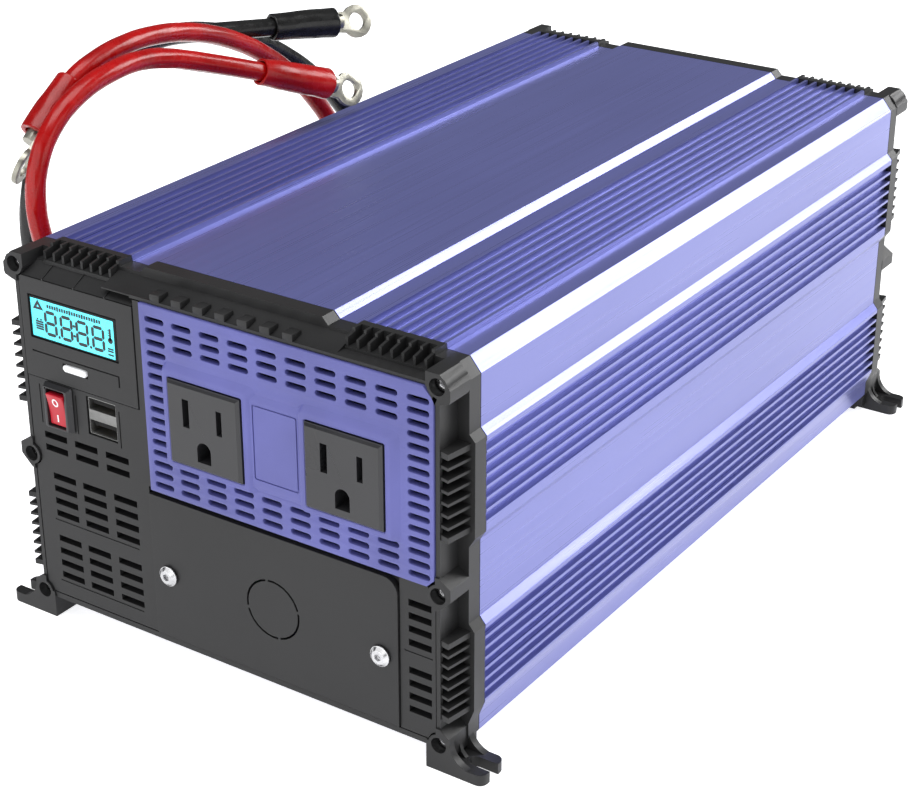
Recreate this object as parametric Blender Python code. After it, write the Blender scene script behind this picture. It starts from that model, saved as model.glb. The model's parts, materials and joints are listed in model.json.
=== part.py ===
"""Power inverter: a finned aluminium case between two plastic end frames, with battery cables.

Frame: +X right, +Y to the rear, +Z up. The origin is on the floor, under the middle of the case.
Every size below is in millimetres, and the helpers turn it into metres.
"""

import math

import bmesh
import bpy
from mathutils import Matrix, Vector

MM = 0.001

# Case: one aluminium extrusion that runs from end frame to end frame.
FRONT = -154.0  # plane of the front screw bosses
EXTRUSION_INSET = 15.3  # from the boss plane to the extrusion
BOTTOM_Z = 7.5  # the feet lift the case by this much
SIDE_X = 83.1
SHOULDER_Z = 124.4
LAND_X = 79.4
LAND_Z = 128.9
PANEL_X = 33.1  # raised centre panel on top
PANEL_FOOT_X = 35.2
PANEL_Z = 131.1
WALL_X = 80.6  # inner faces of the cavity
CAVITY_Z = 10.0
CEILING_Z = 126.5
PORT_RADIUS = 1.8  # screw ports in the extrusion, and screw holes in the frames
BOARD_SLOT_X = 77.6
BOARD_SLOT_Z = (15.5, 17.6)
RAIL = 1.6

# Fins: each group is eight ridges with seven grooves between them.
GROOVES = 7
RIDGE = 1.0
FIN_X = 85.1
FIN_Z = 130.6
# Each group: low edge, low crest, first ridge, last ridge, high crest, high edge.
LOWER_FINS = (12.8, 18.0, 18.6, 43.8, 44.7, 47.1)
UPPER_FINS = (72.4, 75.6, 78.4, 104.5, 105.8, 108.0)
TOP_FINS = (43.3, 43.6, 44.3, 71.1, 71.7, 71.9)

# End frames: local depth runs from the boss plane towards the case.
FLANGE_Y = (9.5, 15.0)
WAIST_X = 79.3
OPENING_X = 77.9
OPENING_Z = (9.4, 124.4)
WAIST_TOP_Z = 125.6
LEDGE_X = 75.0
LEDGE_Z = (12.5, 121.0)
BOSS_X = 78.9
BOSS_ZS = (8.9, 59.6, 125.0)
BOSS_OUT_X = 83.2
BOSS_RADIUS = 3.6
COUNTERBORE_RADIUS = 2.65
COUNTERBORE_DEPTH = 5.5
RIB = 0.9
LIP = 1.8
FOOT_TIP_X = 94.4
FOOT_INNER_X = 74.5
TAB_THICKNESS = 3.6
TAB_LENGTH = 12.2
SLOT_WIDTH = 4.4

# Front face: x and z limits of each panel and device.
GAP = 0.3
PANEL_EDGE_X = 77.6
PANEL_BOTTOM_Z = 9.7
PANEL_TOP_Z = 124.1
COLUMN_X = (-31.0, -28.5)  # post between the left panels and the outlet panel
CONTROL_BOTTOM_Z = 88.0
CONTROL_TOP_Z = 121.8
OUTLET_PANEL_BOTTOM_Z = 61.5
GRILLE_TOP_Z = 61.2
WINDOW = (-74.4, -38.0, 101.5, 116.1)
MENU = (-61.8, -51.5, 92.7, 95.6)
MENU_TRAVEL = 0.8
ROCKER_X = -64.6
ROCKER_Z = 79.7
ROCKER_PIVOT_Y = 2.5
ROCKER_TILT = math.radians(10)
USB_X = -47.25
USB_Z = 80.0
OUTLET_XS = (-3.25, 47.85)
OUTLET_Z = 89.45
OUTLET_SIZE = 27.5
BLADE_SPACING = 12.7
GROUND_DROP = 11.9
COVER = (-29.2, 64.8, 9.9, 60.0)
COVER_CORNER = 5.0
COVER_SCREWS = ((-22.7, 32.9), (58.7, 32.9))
KNOCKOUT = (18.4, 34.5)
KNOCKOUT_RADIUS = 10.1
VENT_HEIGHT = 2.2

# Rear face.
FAN_XS = (-37.0, 37.0)
FAN_Z = 88.0
FAN_SIZE = 60.0
FAN_DEPTH = 20.0
FAN_BORE = 28.5
TERMINAL_Z = 41.0
RED_X = 40.0
BLACK_X = -22.0
STUD_RADIUS = 3.0

# Battery cables: an upright coil beside the case. The black one goes on to its terminal at the rear.
CABLE_RADIUS = 3.4
COIL_STEP = 11.25  # degrees of the coil per segment
# Each oval: middle y and z, half length, half height, tilt in degrees, x.
RED_OVALS = ((-36.0, 87.0, 103.5, 73.0, -33.5, -104.6), (-14.0, 85.5, 126.0, 60.5, -30.0, -95.0))
BLACK_OVALS = ((-3.5, 82.7, 107.5, 68.0, -29.0, -123.2), (-11.5, 83.6, 107.0, 69.0, -29.5, -116.2))
# Each coil, in degrees: where the cable comes in, how far it winds, and how far round it has wound
# when it starts and ends its way over to the second oval.
RED_COIL = (153.75, 382.5, 150.0, 290.0)
BLACK_COIL = (-45.0, 562.5, 250.0, 360.0)
# Stud holes of the loose ends, and the way that each lug faces.
RED_FRONT_HOLE = (-105.0, -123.5, 143.5)
RED_REAR_HOLE = (-70.0, 8.8, 140.3)
BLACK_FREE_HOLE = (-92.0, 43.3, 154.0)
RED_FRONT_FACING = (-0.84, -0.36, 0.36)
FREE_FACING = (0.88, -0.26, 0.38)
SLEEVE_START = 4.8
SLEEVE_END = 5.6
SLEEVE_PAST = 12.0  # how far a sleeve reaches past the end of its cable
LUG_BARREL_RADIUS = 3.0
LUG_BARREL = 15.0
LUG_REACH = 23.0  # from the end of the barrel to the middle of the stud hole
LUG_RADIUS = 6.2
LUG_THICKNESS = 1.6
COLLAR_RADIUS = 10.5
COLLAR_HEIGHT = 7.0

REAR = -FRONT
EXTRUSION_HALF = REAR - EXTRUSION_INSET


# ---------------------------------------------------------------- helpers

for leftover in list(bpy.data.objects):
    bpy.data.objects.remove(leftover, do_unlink=True)

PARTS = bpy.data.collections.new("power_inverter")
CUTTERS = bpy.data.collections.new("cutters")
bpy.context.scene.collection.children.link(PARTS)
bpy.context.scene.collection.children.link(CUTTERS)
CUTTERS.hide_render = True

# Turns the XY plane of an outline so that it is extruded along the named axis.
TURNS = {
    "x": Matrix.Rotation(math.pi / 2, 4, "Z") @ Matrix.Rotation(math.pi / 2, 4, "X"),
    "y": Matrix.Rotation(math.pi / 2, 4, "X"),
    "z": Matrix.Identity(4),
}
AXES = {"x": Vector((1, 0, 0)), "y": Vector((0, 1, 0)), "z": Vector((0, 0, 1))}


def finish(name, colour, roughness, metallic=0.0):
    """A Principled material."""
    material = bpy.data.materials.new(name)
    material.use_nodes = True
    shader = material.node_tree.nodes["Principled BSDF"]
    shader.inputs["Base Color"].default_value = (*colour, 1.0)
    shader.inputs["Roughness"].default_value = roughness
    shader.inputs["Metallic"].default_value = metallic
    return material


BLUE_METAL = finish("blue_anodised", (0.12, 0.13, 0.48), 0.35, 0.7)
BLACK_PLASTIC = finish("black_plastic", (0.02, 0.02, 0.022), 0.4)
BLUE_PLASTIC = finish("blue_plastic", (0.13, 0.14, 0.5), 0.45)
RED_PLASTIC = finish("red_plastic", (0.6, 0.03, 0.04), 0.35)
WHITE_PLASTIC = finish("white_plastic", (0.8, 0.8, 0.8), 0.4)
CLEAR_PLASTIC = finish("clear_window", (0.6, 0.9, 0.95), 0.1)
DISPLAY = finish("display", (0.15, 0.8, 0.9), 0.3)
STEEL = finish("plated_steel", (0.6, 0.6, 0.6), 0.3, 1.0)
BRASS = finish("brass", (0.7, 0.55, 0.25), 0.3, 1.0)
TINNED_COPPER = finish("tinned_copper", (0.6, 0.6, 0.55), 0.35, 1.0)
BARE_METAL = finish("bare_aluminium", (0.7, 0.7, 0.72), 0.4, 1.0)
CIRCUIT_BOARD = finish("circuit_board", (0.02, 0.18, 0.06), 0.5)
FERRITE = finish("ferrite", (0.05, 0.05, 0.05), 0.6)
CAPACITOR = finish("capacitor_sleeve", (0.03, 0.03, 0.12), 0.4)
RED_RUBBER = finish("red_insulation", (0.55, 0.01, 0.01), 0.3)
BLACK_RUBBER = finish("black_insulation", (0.015, 0.015, 0.015), 0.3)


def new_object(name, mesh):
    """An unfinished piece. It stays out of the render until it is given a material."""
    piece = bpy.data.objects.new(name, mesh)
    piece.hide_render = True
    piece.display_type = "WIRE"
    CUTTERS.objects.link(piece)
    return piece


def baked(piece):
    """The piece's evaluated mesh, welded where two of its faces meet."""
    graph = bpy.context.evaluated_depsgraph_get()
    mesh = bpy.data.meshes.new_from_object(piece.evaluated_get(graph))
    soup = bmesh.new()
    soup.from_mesh(mesh)
    bmesh.ops.remove_doubles(soup, verts=soup.verts, dist=1e-5)
    soup.to_mesh(mesh)
    soup.free()
    return mesh


def plate(outline, start, end, axis="y", holes=()):
    """A flat outline with holes, extruded from start to end along an axis."""
    curve = bpy.data.curves.new("outline", "CURVE")
    curve.dimensions = "2D"
    curve.fill_mode = "BOTH"
    curve.extrude = (end - start) / 2 * MM
    for ring in (outline, *holes):
        spline = curve.splines.new("POLY")
        spline.points.add(len(ring) - 1)
        for point, (across, up) in zip(spline.points, ring):
            point.co = (across * MM, up * MM, 0.0, 1.0)
        spline.use_cyclic_u = True
    guide = bpy.data.objects.new("outline", curve)
    CUTTERS.objects.link(guide)
    mesh = baked(guide)
    bpy.data.objects.remove(guide, do_unlink=True)
    middle = AXES[axis] * ((start + end) / 2 * MM)
    mesh.transform(Matrix.Translation(middle) @ TURNS[axis])
    return new_object("plate", mesh)


def block(x_limits, y_limits, z_limits, taper=0.0):
    """A box between limits on each axis. A taper draws in its front face on every side."""
    soup = bmesh.new()
    bmesh.ops.create_cube(soup, size=1.0)
    limits = (x_limits, y_limits, z_limits)
    for vert in soup.verts:
        front = vert.co.y < 0
        for i, (low, high) in enumerate(limits):
            inset = taper if front and i != 1 else 0.0
            vert.co[i] = (high - inset if vert.co[i] > 0 else low + inset) * MM
    mesh = bpy.data.meshes.new("block")
    soup.to_mesh(mesh)
    soup.free()
    return new_object("block", mesh)


def rod(centre, radius, start, end, axis="y", sides=24, end_radius=None):
    """A cylinder or cone from start to end along an axis. The centre's value on that axis is unused."""
    soup = bmesh.new()
    bmesh.ops.create_cone(
        soup,
        cap_ends=True,
        segments=sides,
        radius1=radius * MM,
        radius2=(radius if end_radius is None else end_radius) * MM,
        depth=(end - start) * MM,
    )
    mesh = bpy.data.meshes.new("rod")
    soup.to_mesh(mesh)
    soup.free()
    place = Vector(centre) * MM
    place["xyz".index(axis)] = (start + end) / 2 * MM
    facing = AXES["z"].rotation_difference(AXES[axis]).to_matrix().to_4x4()
    mesh.transform(Matrix.Translation(place) @ facing)
    return new_object("rod", mesh)


def boolean(piece, others, operation):
    """Joins or cuts with several pieces at once, then removes them."""
    group = bpy.data.collections.new("operands")
    CUTTERS.children.link(group)
    for other in others:
        CUTTERS.objects.unlink(other)
        group.objects.link(other)
    modifier = piece.modifiers.new("combine", "BOOLEAN")
    modifier.operation = operation
    modifier.operand_type = "COLLECTION"
    modifier.collection = group
    mesh = baked(piece)
    bpy.data.objects.remove(piece, do_unlink=True)
    for other in others:
        bpy.data.objects.remove(other, do_unlink=True)
    bpy.data.collections.remove(group)
    return new_object("combined", mesh)


def fused(*pieces):
    return boolean(pieces[0], pieces[1:], "UNION")


def cut(piece, *cutters):
    return boolean(piece, cutters, "DIFFERENCE")


def merge_flat_faces(mesh):
    """Joins neighbouring faces that lie in one plane."""
    soup = bmesh.new()
    soup.from_mesh(mesh)
    bmesh.ops.dissolve_limit(
        soup, angle_limit=math.radians(0.1), verts=soup.verts, edges=soup.edges
    )
    soup.to_mesh(mesh)
    soup.free()


def part(name, piece, material, origin=(0.0, 0.0, 0.0), smooth=False):
    """Turns a piece into a finished part with its origin at the given point."""
    place = Vector(origin) * MM
    merge_flat_faces(piece.data)
    piece.data.transform(Matrix.Translation(-place))
    piece.data.materials.clear()
    piece.data.materials.append(material)
    if smooth:
        piece.data.shade_smooth()
        piece.data.set_sharp_from_angle(angle=math.radians(35))
    CUTTERS.objects.unlink(piece)
    PARTS.objects.link(piece)
    piece.location = place
    piece.name = name
    piece.data.name = name
    piece.hide_render = False
    piece.display_type = "TEXTURED"
    return piece


def rectangle(left, right, bottom, top):
    return [(left, bottom), (right, bottom), (right, top), (left, top)]


def arc(centre, radius, start, end, steps):
    """Points on an arc, angles in degrees."""
    points = []
    for i in range(steps + 1):
        angle = math.radians(start + (end - start) * i / steps)
        points.append(
            (centre[0] + radius * math.cos(angle), centre[1] + radius * math.sin(angle))
        )
    return points


def circle(centre, radius, sides=24):
    return arc(centre, radius, 0, 360 - 360 / sides, sides - 1)


def mirrored(outline):
    """The outline and its reflection in x = 0, for an outline that runs up the +X side."""
    return outline + [(-x, z) for x, z in reversed(outline)]


# ---------------------------------------------------------------- case


def ridge_centres(group):
    """Middles of the ridges of a fin group."""
    first, last = group[2], group[3]
    return [first + (last - first) * i / GROOVES for i in range(GROOVES + 1)]


def fin_points(group, base, crest, grooved):
    """A fin group's outline, as (distance along, height) pairs from its low edge up."""
    low_edge, low_crest, _, _, high_crest, high_edge = group
    points = [(low_edge, base), (low_crest, crest)]
    ridges = ridge_centres(group)
    if grooved:
        for here, following in zip(ridges, ridges[1:]):
            start, end = here + RIDGE / 2, following - RIDGE / 2
            points += [(start, crest), (start, base), (end, base), (end, crest)]
    return points + [(high_crest, crest), (high_edge, base)]


def case_outline(grooved):
    """The case seen from the front: up the right side, over the top, and back."""
    right = [(SIDE_X, BOTTOM_Z)]
    for group in (LOWER_FINS, UPPER_FINS):
        right += [(x, z) for z, x in fin_points(group, SIDE_X, FIN_X, grooved)]
    right += [(SIDE_X, SHOULDER_Z), (LAND_X, LAND_Z)]
    right += reversed(fin_points(TOP_FINS, LAND_Z, FIN_Z, grooved))
    right += [(PANEL_FOOT_X, LAND_Z), (PANEL_X, PANEL_Z)]
    return mirrored(right)


def cavity_outline():
    """The inside of the case, with rails for the main board and screw ports in the side walls."""
    port_low, port_mid, port_top = BOSS_ZS
    slot_low, slot_high = BOARD_SLOT_Z
    port_x = BOSS_X - 2.5
    block_z = 12.7
    right = [(BOARD_SLOT_X - 3, CAVITY_Z), (BOARD_SLOT_X - 2, block_z)]
    right += [(BOARD_SLOT_X, block_z), (BOARD_SLOT_X, slot_low), (WALL_X, slot_low)]
    right += [(WALL_X, slot_high), (BOARD_SLOT_X, slot_high)]
    right += [(BOARD_SLOT_X, slot_high + RAIL), (WALL_X, slot_high + RAIL)]
    right += [(WALL_X, port_mid - 3.3), (port_x, port_mid - 3.3)]
    right += [(port_x, port_mid - PORT_RADIUS)]
    right += arc((BOSS_X, port_mid), PORT_RADIUS, -90, 90, 8)
    right += [(port_x, port_mid + PORT_RADIUS), (port_x, port_mid + 3.3)]
    right += [(WALL_X, port_mid + 3.3), (WALL_X, port_top - 3.4)]
    right += [(port_x, port_top - 3.4), (port_x, port_top - PORT_RADIUS)]
    right += arc((BOSS_X, port_top), PORT_RADIUS, -90, 60, 7)
    right += [(port_x, CEILING_Z)]
    return mirrored(right)


def case_with_ports():
    """The outer outline with a screw port that opens downwards in each bottom corner."""
    outline = case_outline(grooved=True)
    top = arc((BOSS_X, BOSS_ZS[0]), PORT_RADIUS, 180, 0, 8)
    port = [(BOSS_X - PORT_RADIUS, BOTTOM_Z), *top, (BOSS_X + PORT_RADIUS, BOTTOM_Z)]
    left_port = [(-x, z) for x, z in reversed(port)]
    return left_port + port + outline


def make_case():
    shell = plate(case_with_ports(), -EXTRUSION_HALF, EXTRUSION_HALF, holes=[cavity_outline()])
    return part("case_extrusion", shell, BLUE_METAL)


# ---------------------------------------------------------------- end frames


def both_sides(make):
    """What make(side) returns for the right side, then for the left."""
    return [piece for side in (1, -1) for piece in make(side)]


def sided(side, outline):
    return [(side * x, z) for x, z in outline]


def boss_outline(z):
    """The front view of a screw boss on the right side."""
    low, _, high = BOSS_ZS
    out = BOSS_OUT_X
    inner = WAIST_X - 1.4
    if z == high:
        return [
            (LEDGE_X, LAND_Z),
            (LEDGE_X, z - 0.5),
            (OPENING_X + 0.2, z - 3.0),
            (OPENING_X + 0.2, z - 5.6),
            (WAIST_X + 0.6, z - 5.2),
            (out - 0.4, z - 4.2),
            (out, z - 3.2),
            (out, SHOULDER_Z + 0.4),
            (LAND_X + 0.4, LAND_Z),
        ]
    if z == low:
        return [
            (inner, z - 4.0),
            (out - 0.6, z - 4.0),
            (out - 0.6, z + 3.2),
            (WAIST_X, z + 5.6),
            (inner, z + 5.6),
        ]
    return [
        (inner, z - 5.2),
        (WAIST_X, z - 4.6),
        (out, z - 0.8),
        (out, z + 3.2),
        (WAIST_X, z + 5.8),
        (inner, z + 5.8),
    ]


def waist(side):
    """Side wall between the face and the flange, with an open window behind each comb."""
    low, high = sorted((side * OPENING_X, side * WAIST_X))
    wall = block((low, high), (FRONT + 0.6, FRONT + FLANGE_Y[0] + 0.3), (BOTTOM_Z, 123.0))
    windows = []
    for group in (LOWER_FINS, UPPER_FINS):
        ridges = ridge_centres(group)
        across = (low - 1, high + 1)
        deep = (FRONT + 1.9, FRONT + FLANGE_Y[0] - 0.6)
        windows.append(block(across, deep, (ridges[0] + 0.3, ridges[-1] - 0.3)))
    return [cut(wall, *windows)]


def side_combs(side):
    """Thin shelves that carry the side fins' lines on to the face."""
    outer = BOSS_OUT_X - 0.9
    shelf = [
        (OPENING_X + 0.1, FRONT + 1.2),
        (outer, FRONT + 0.2),
        (FIN_X - 1.3, FRONT + FLANGE_Y[0] + 0.3),
        (OPENING_X + 0.1, FRONT + FLANGE_Y[0] + 0.3),
    ]
    pieces = []
    for group in (LOWER_FINS, UPPER_FINS):
        ridges = ridge_centres(group)
        for z in ridges:
            thickness = LIP if z in (ridges[0], ridges[-1]) else RIB
            pieces.append(
                plate(sided(side, shelf), z - thickness / 2, z + thickness / 2, "z")
            )
    return pieces


def top_comb(side):
    """Upright ribs in front of the top fins, on a low base strip."""
    ridges = ridge_centres(TOP_FINS)
    rise = [
        (FRONT + 6.0, 124.8),
        (FRONT + FLANGE_Y[0] + 0.4, 124.8),
        (FRONT + FLANGE_Y[0] + 0.4, FIN_Z - 0.9),
        (FRONT + 6.0, FIN_Z - 1.7),
    ]
    pieces = []
    for x in ridges:
        middle = side * x
        pieces.append(plate(rise, middle - RIB / 2, middle + RIB / 2, "x"))
    low, high = sorted((side * (ridges[0] - RIB / 2), side * (ridges[-1] + RIB / 2)))
    base = block((low, high), (FRONT + 5.6, FRONT + FLANGE_Y[0] + 0.4), (124.9, 126.2))
    return [*pieces, base]


def comb_pockets(side):
    """Cutters that carry the gaps of the top comb into the flange."""
    pockets = []
    ridges = ridge_centres(TOP_FINS)
    for here, following in zip(ridges, ridges[1:]):
        limits = sorted((side * (here + RIB / 2), side * (following - RIB / 2)))
        deep = (FRONT + FLANGE_Y[0] - 0.5, FRONT + 12.6)
        pockets.append(block(limits, deep, (126.4, FIN_Z + 1)))
    return pockets


def foot(side):
    """A mounting foot: a slotted tab on the floor between two gusset plates."""
    middle = FRONT + TAB_LENGTH / 2
    half = SLOT_WIDTH / 2
    tip = 2.6
    tab = [(FOOT_INNER_X, FRONT), (FOOT_TIP_X - tip, FRONT)]
    tab += arc((FOOT_TIP_X - tip, FRONT + tip), tip, -90, 0, 4)
    tab += [(FOOT_TIP_X, middle - half)]
    tab += arc((88.0, middle), half, 270, 90, 8)
    tab += [(FOOT_TIP_X, middle + half)]
    tab += arc((FOOT_TIP_X - tip, FRONT + TAB_LENGTH - tip), tip, 0, 90, 4)
    tab += [(FOOT_INNER_X, FRONT + TAB_LENGTH)]
    flare = arc((90.4, 11.2), 7.8, 270, 190, 6)
    gusset = [(FOOT_INNER_X, 0.0), (FOOT_TIP_X - 4, 0.0), (FOOT_TIP_X - 4, 3.4), *flare]
    gusset += [(BOSS_OUT_X - 0.6, 12.2), (WAIST_X, 14.3), (OPENING_X, 14.3)]
    gusset += [(OPENING_X, OPENING_Z[0]), (FOOT_INNER_X, OPENING_Z[0])]
    web = [(WAIST_X, 2.0), (86.4, 2.0), (83.4, 5.4), (82.0, 10.0), (WAIST_X, 10.0)]
    rear_start = FRONT + TAB_LENGTH - 2.4
    return [
        plate(sided(side, tab), 0.0, TAB_THICKNESS, "z"),
        plate(sided(side, gusset), FRONT, FRONT + 2.4),
        plate(sided(side, gusset), rear_start, FRONT + TAB_LENGTH),
        plate(sided(side, web), middle - 0.7, middle + 0.7),
        block(
            sorted((side * FOOT_INNER_X, side * WAIST_X)),
            (FRONT, FRONT + FLANGE_Y[1]),
            (0.0, BOTTOM_Z + 2.0),
        ),
        block(
            sorted((side * (WAIST_X - 1), side * (BOSS_OUT_X - 0.8))),
            (FRONT + TAB_LENGTH - 1, FRONT + FLANGE_Y[1]),
            (2.0, BOTTOM_Z + 2.0),
        ),
    ]


def bosses(side):
    end = FRONT + FLANGE_Y[0] + 0.4
    pieces = [plate(sided(side, boss_outline(z)), FRONT, end) for z in BOSS_ZS]
    return pieces + [
        rod((side * BOSS_X, 0, z), BOSS_RADIUS, FRONT, end, sides=16) for z in BOSS_ZS
    ]


def boss_notches(start, end):
    """Cutters that clear the round bosses out of a face plate."""
    radius = BOSS_RADIUS + 0.4
    return [
        rod((x, 0, z), radius, start, end, sides=16)
        for x in (-BOSS_X, BOSS_X)
        for z in BOSS_ZS
    ]


def screw_holes(side):
    holes = []
    for z in BOSS_ZS:
        centre = (side * BOSS_X, 0.0, z)
        holes.append(rod(centre, PORT_RADIUS, FRONT + 1, FRONT + 22, sides=10))
        holes.append(
            rod(centre, COUNTERBORE_RADIUS, FRONT - 1, FRONT + COUNTERBORE_DEPTH, sides=16)
        )
    return holes


def hood(left, right):
    """The sloping top over the control panel."""
    slope = [
        (FRONT + 0.4, CONTROL_TOP_Z + 0.3),
        (FRONT + 6.8, 125.4),
        (FRONT + 6.8, 124.0),
        (FRONT + 2.4, CONTROL_TOP_Z + 0.3),
    ]
    return plate(slope, left, right, "x")


def middle_slope():
    """The rise from the face to the raised centre of the flange."""
    rise = [
        (FRONT + 1.2, 125.1),
        (FRONT + FLANGE_Y[0] + 0.4, 128.0),
        (FRONT + FLANGE_Y[0] + 0.4, 124.7),
        (FRONT + 1.2, 124.7),
    ]
    reach = TOP_FINS[0] + 0.4
    return plate(rise, -reach, reach, "x")


def top_teeth():
    """Seven small blocks along the front edge of the middle slope."""
    pitch = 8.25
    return [
        block((x - 1.8, x + 1.8), (FRONT + 1.0, FRONT + 5.0), (124.7, 127.0))
        for x in (2.4 + pitch * i for i in range(-3, 4))
    ]


def make_frame(name, front):
    """One end frame, built at the front. The rear one is turned round afterwards."""
    ledge = rectangle(-LEDGE_X, LEDGE_X, *LEDGE_Z)
    ring_outer = rectangle(-WAIST_X, WAIST_X, BOTTOM_Z, WAIST_TOP_Z)
    ring_inner = rectangle(-OPENING_X, OPENING_X, *OPENING_Z)
    flange = plate(
        case_outline(grooved=False), FRONT + FLANGE_Y[0], FRONT + FLANGE_Y[1], holes=[ledge]
    )
    ring = plate(
        ring_outer, FRONT + 6.4, FRONT + FLANGE_Y[0] + 0.3, holes=[ring_inner]
    )
    floor = block(
        (-WAIST_X, WAIST_X), (FRONT + 0.6, FRONT + 6.6), (BOTTOM_Z, OPENING_Z[0])
    )
    tongues = []
    for side in (1, -1):
        low, high = sorted((side * 22.0, side * 60.0))
        tongue_y = (FRONT + FLANGE_Y[1] - 0.5, FRONT + 21.0)
        tongues.append(block((low, high), tongue_y, (CAVITY_Z + GAP, 12.4)))
        tongues.append(block((low, high), tongue_y, (123.6, CEILING_Z - GAP)))
    hood_end = COLUMN_X[0] - GAP
    shelf_left = hood_end - 1.0 if front else -OPENING_X - 0.5
    shelf = block(
        (shelf_left, OPENING_X + 0.5), (FRONT + 0.9, FRONT + 6.6), (124.4, 125.4)
    )
    # The ring is cut behind the combs before the ribs are added.
    ring = cut(ring, *comb_windows())
    pieces = [flange, ring, floor, shelf, middle_slope(), *tongues]
    if front:
        pieces += [hood(-OPENING_X - 0.5, hood_end), *top_teeth()]
    pieces += both_sides(waist) + both_sides(bosses) + both_sides(foot)
    body = cut(fused(*pieces), *both_sides(comb_pockets))
    body = fused(body, *both_sides(side_combs), *both_sides(top_comb))
    body = cut(body, *both_sides(screw_holes))
    frame = part(name, body, BLACK_PLASTIC)
    if not front:
        frame.rotation_euler = (0.0, 0.0, math.pi)
    return frame


def comb_windows():
    """Cutters for the ring behind the side combs."""
    windows = []
    for side in (1, -1):
        across = sorted((side * (OPENING_X - 1), side * (WAIST_X + 1)))
        for group in (LOWER_FINS, UPPER_FINS):
            ridges = ridge_centres(group)
            windows.append(
                block(
                    across,
                    (FRONT + 6.0, FRONT + FLANGE_Y[0] - 0.6),
                    (ridges[0] + 0.3, ridges[-1] - 0.3),
                )
            )
    return windows


def make_frame_screws():
    """Six cheese-head screws at each end, sunk in the bosses."""
    rows = ("bottom", "middle", "top")
    for end, facing in (("front", 1), ("rear", -1)):
        for row, z in zip(rows, BOSS_ZS):
            for label, side in (("right", 1), ("left", -1)):
                centre = (side * BOSS_X, 0.0, z)
                seat = FRONT + COUNTERBORE_DEPTH - GAP
                head = rod(centre, 2.3, seat - 2.2, seat, sides=16)
                shank = rod(centre, 1.45, seat - 0.4, FRONT + 24.0, sides=10)
                recess = rod(centre, 1.2, seat - 3.0, seat - 1.0, sides=6)
                screw = cut(fused(head, shank), recess)
                screw = part(f"{end}_screw_{row}_{label}", screw, STEEL, smooth=True)
                if facing < 0:
                    screw.rotation_euler = (0.0, 0.0, math.pi)
                    # A half turn also swaps left and right.
                    swapped = "left" if label == "right" else "right"
                    screw.name = f"{end}_screw_{row}_{swapped}_"
    for obj in PARTS.objects:
        obj.name = obj.name.rstrip("_")


# ---------------------------------------------------------------- front face


def vent_rows(tops, lefts, width):
    return [
        rectangle(left, left + width, top - VENT_HEIGHT, top)
        for top in tops
        for left in lefts
    ]


def make_front_grille():
    """The black face plate: vents, the switch and USB openings, and the wiring window."""
    left, right = COLUMN_X
    outline = [
        (-PANEL_EDGE_X, PANEL_BOTTOM_Z),
        (PANEL_EDGE_X, PANEL_BOTTOM_Z),
        (PANEL_EDGE_X, GRILLE_TOP_Z),
        (right, GRILLE_TOP_Z),
        (right, PANEL_TOP_Z),
        (left, PANEL_TOP_Z),
        (left, CONTROL_BOTTOM_Z - GAP),
        (-PANEL_EDGE_X, CONTROL_BOTTOM_Z - GAP),
    ]
    holes = vent_rows((69.2, 64.7), (-72.7, -59.8, -46.8), 9.5)
    holes += vent_rows((54.9, 50.4, 45.9, 41.4), (-70.5, -57.8, -44.7), 9.6)
    holes += vent_rows((32.1, 27.5, 23.0, 18.5), (-70.5, -57.8, -44.7), 9.6)
    holes += vent_rows((55.0, 50.6, 46.2, 41.6), (68.2,), 8.0)
    holes += vent_rows((32.1, 27.7, 23.2, 18.7), (68.2,), 8.0)
    holes.append(rectangle(ROCKER_X - 5.0, ROCKER_X + 5.0, ROCKER_Z - 7.1, ROCKER_Z + 7.1))
    holes.append(rectangle(USB_X - 6.1, USB_X + 6.1, USB_Z - 6.6, USB_Z + 6.6))
    holes.append(rectangle(-16.0, 52.0, 16.0, 54.0))
    holes += [circle(spot, PORT_RADIUS, 12) for spot in COVER_SCREWS]
    face = plate(outline, FRONT + 0.7, FRONT + 4.2)
    openings = [plate(hole, FRONT - 1.0, FRONT + 6.0) for hole in holes]
    pocket = block(
        (COVER[0] - GAP, COVER[1] + GAP),
        (FRONT - 1.0, FRONT + 2.3),
        (COVER[2] - 1.0, GRILLE_TOP_Z + 1.0),
    )
    notches = boss_notches(FRONT - 1.0, FRONT + 6.0)
    return part("front_grille", cut(face, pocket, *openings, *notches), BLACK_PLASTIC)


def make_control_panel():
    outline = rectangle(
        -PANEL_EDGE_X, COLUMN_X[0] - GAP, CONTROL_BOTTOM_Z, CONTROL_TOP_Z
    )
    panel = plate(
        outline, FRONT + 0.4, FRONT + 2.8, holes=[rectangle(*WINDOW), rectangle(*MENU)]
    )
    panel = cut(panel, *boss_notches(FRONT - 1.0, FRONT + 4.0))
    return part("control_panel", panel, BLACK_PLASTIC)


def make_display():
    left, right, bottom, top = WINDOW
    lens = block(
        (left + GAP, right - GAP),
        (FRONT + 0.9, FRONT + 2.2),
        (bottom + GAP, top - GAP),
    )
    part("lcd_window", lens, CLEAR_PLASTIC)
    glass = block((left - 1, right + 1), (FRONT + 3.1, FRONT + 6.0), (bottom - 1, top + 1))
    board = block((-76.5, -32.5), (FRONT + 5.8, FRONT + 7.4), (99.0, 118.6))
    part("lcd_module", fused(glass, board), DISPLAY)


def make_menu_button():
    left, right, bottom, top = MENU
    cap = block(
        (left + GAP, right - GAP),
        (FRONT - 0.1, FRONT + 6.0),
        (bottom + GAP, top - GAP),
        taper=0.15,
    )
    collar = block((left - 1, right + 1), (FRONT + 3.1, FRONT + 4.3), (bottom - 1, top + 1))
    middle = ((left + right) / 2, FRONT + 3.7, (bottom + top) / 2)
    part("menu_button", fused(cap, collar), WHITE_PLASTIC, origin=middle)


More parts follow.
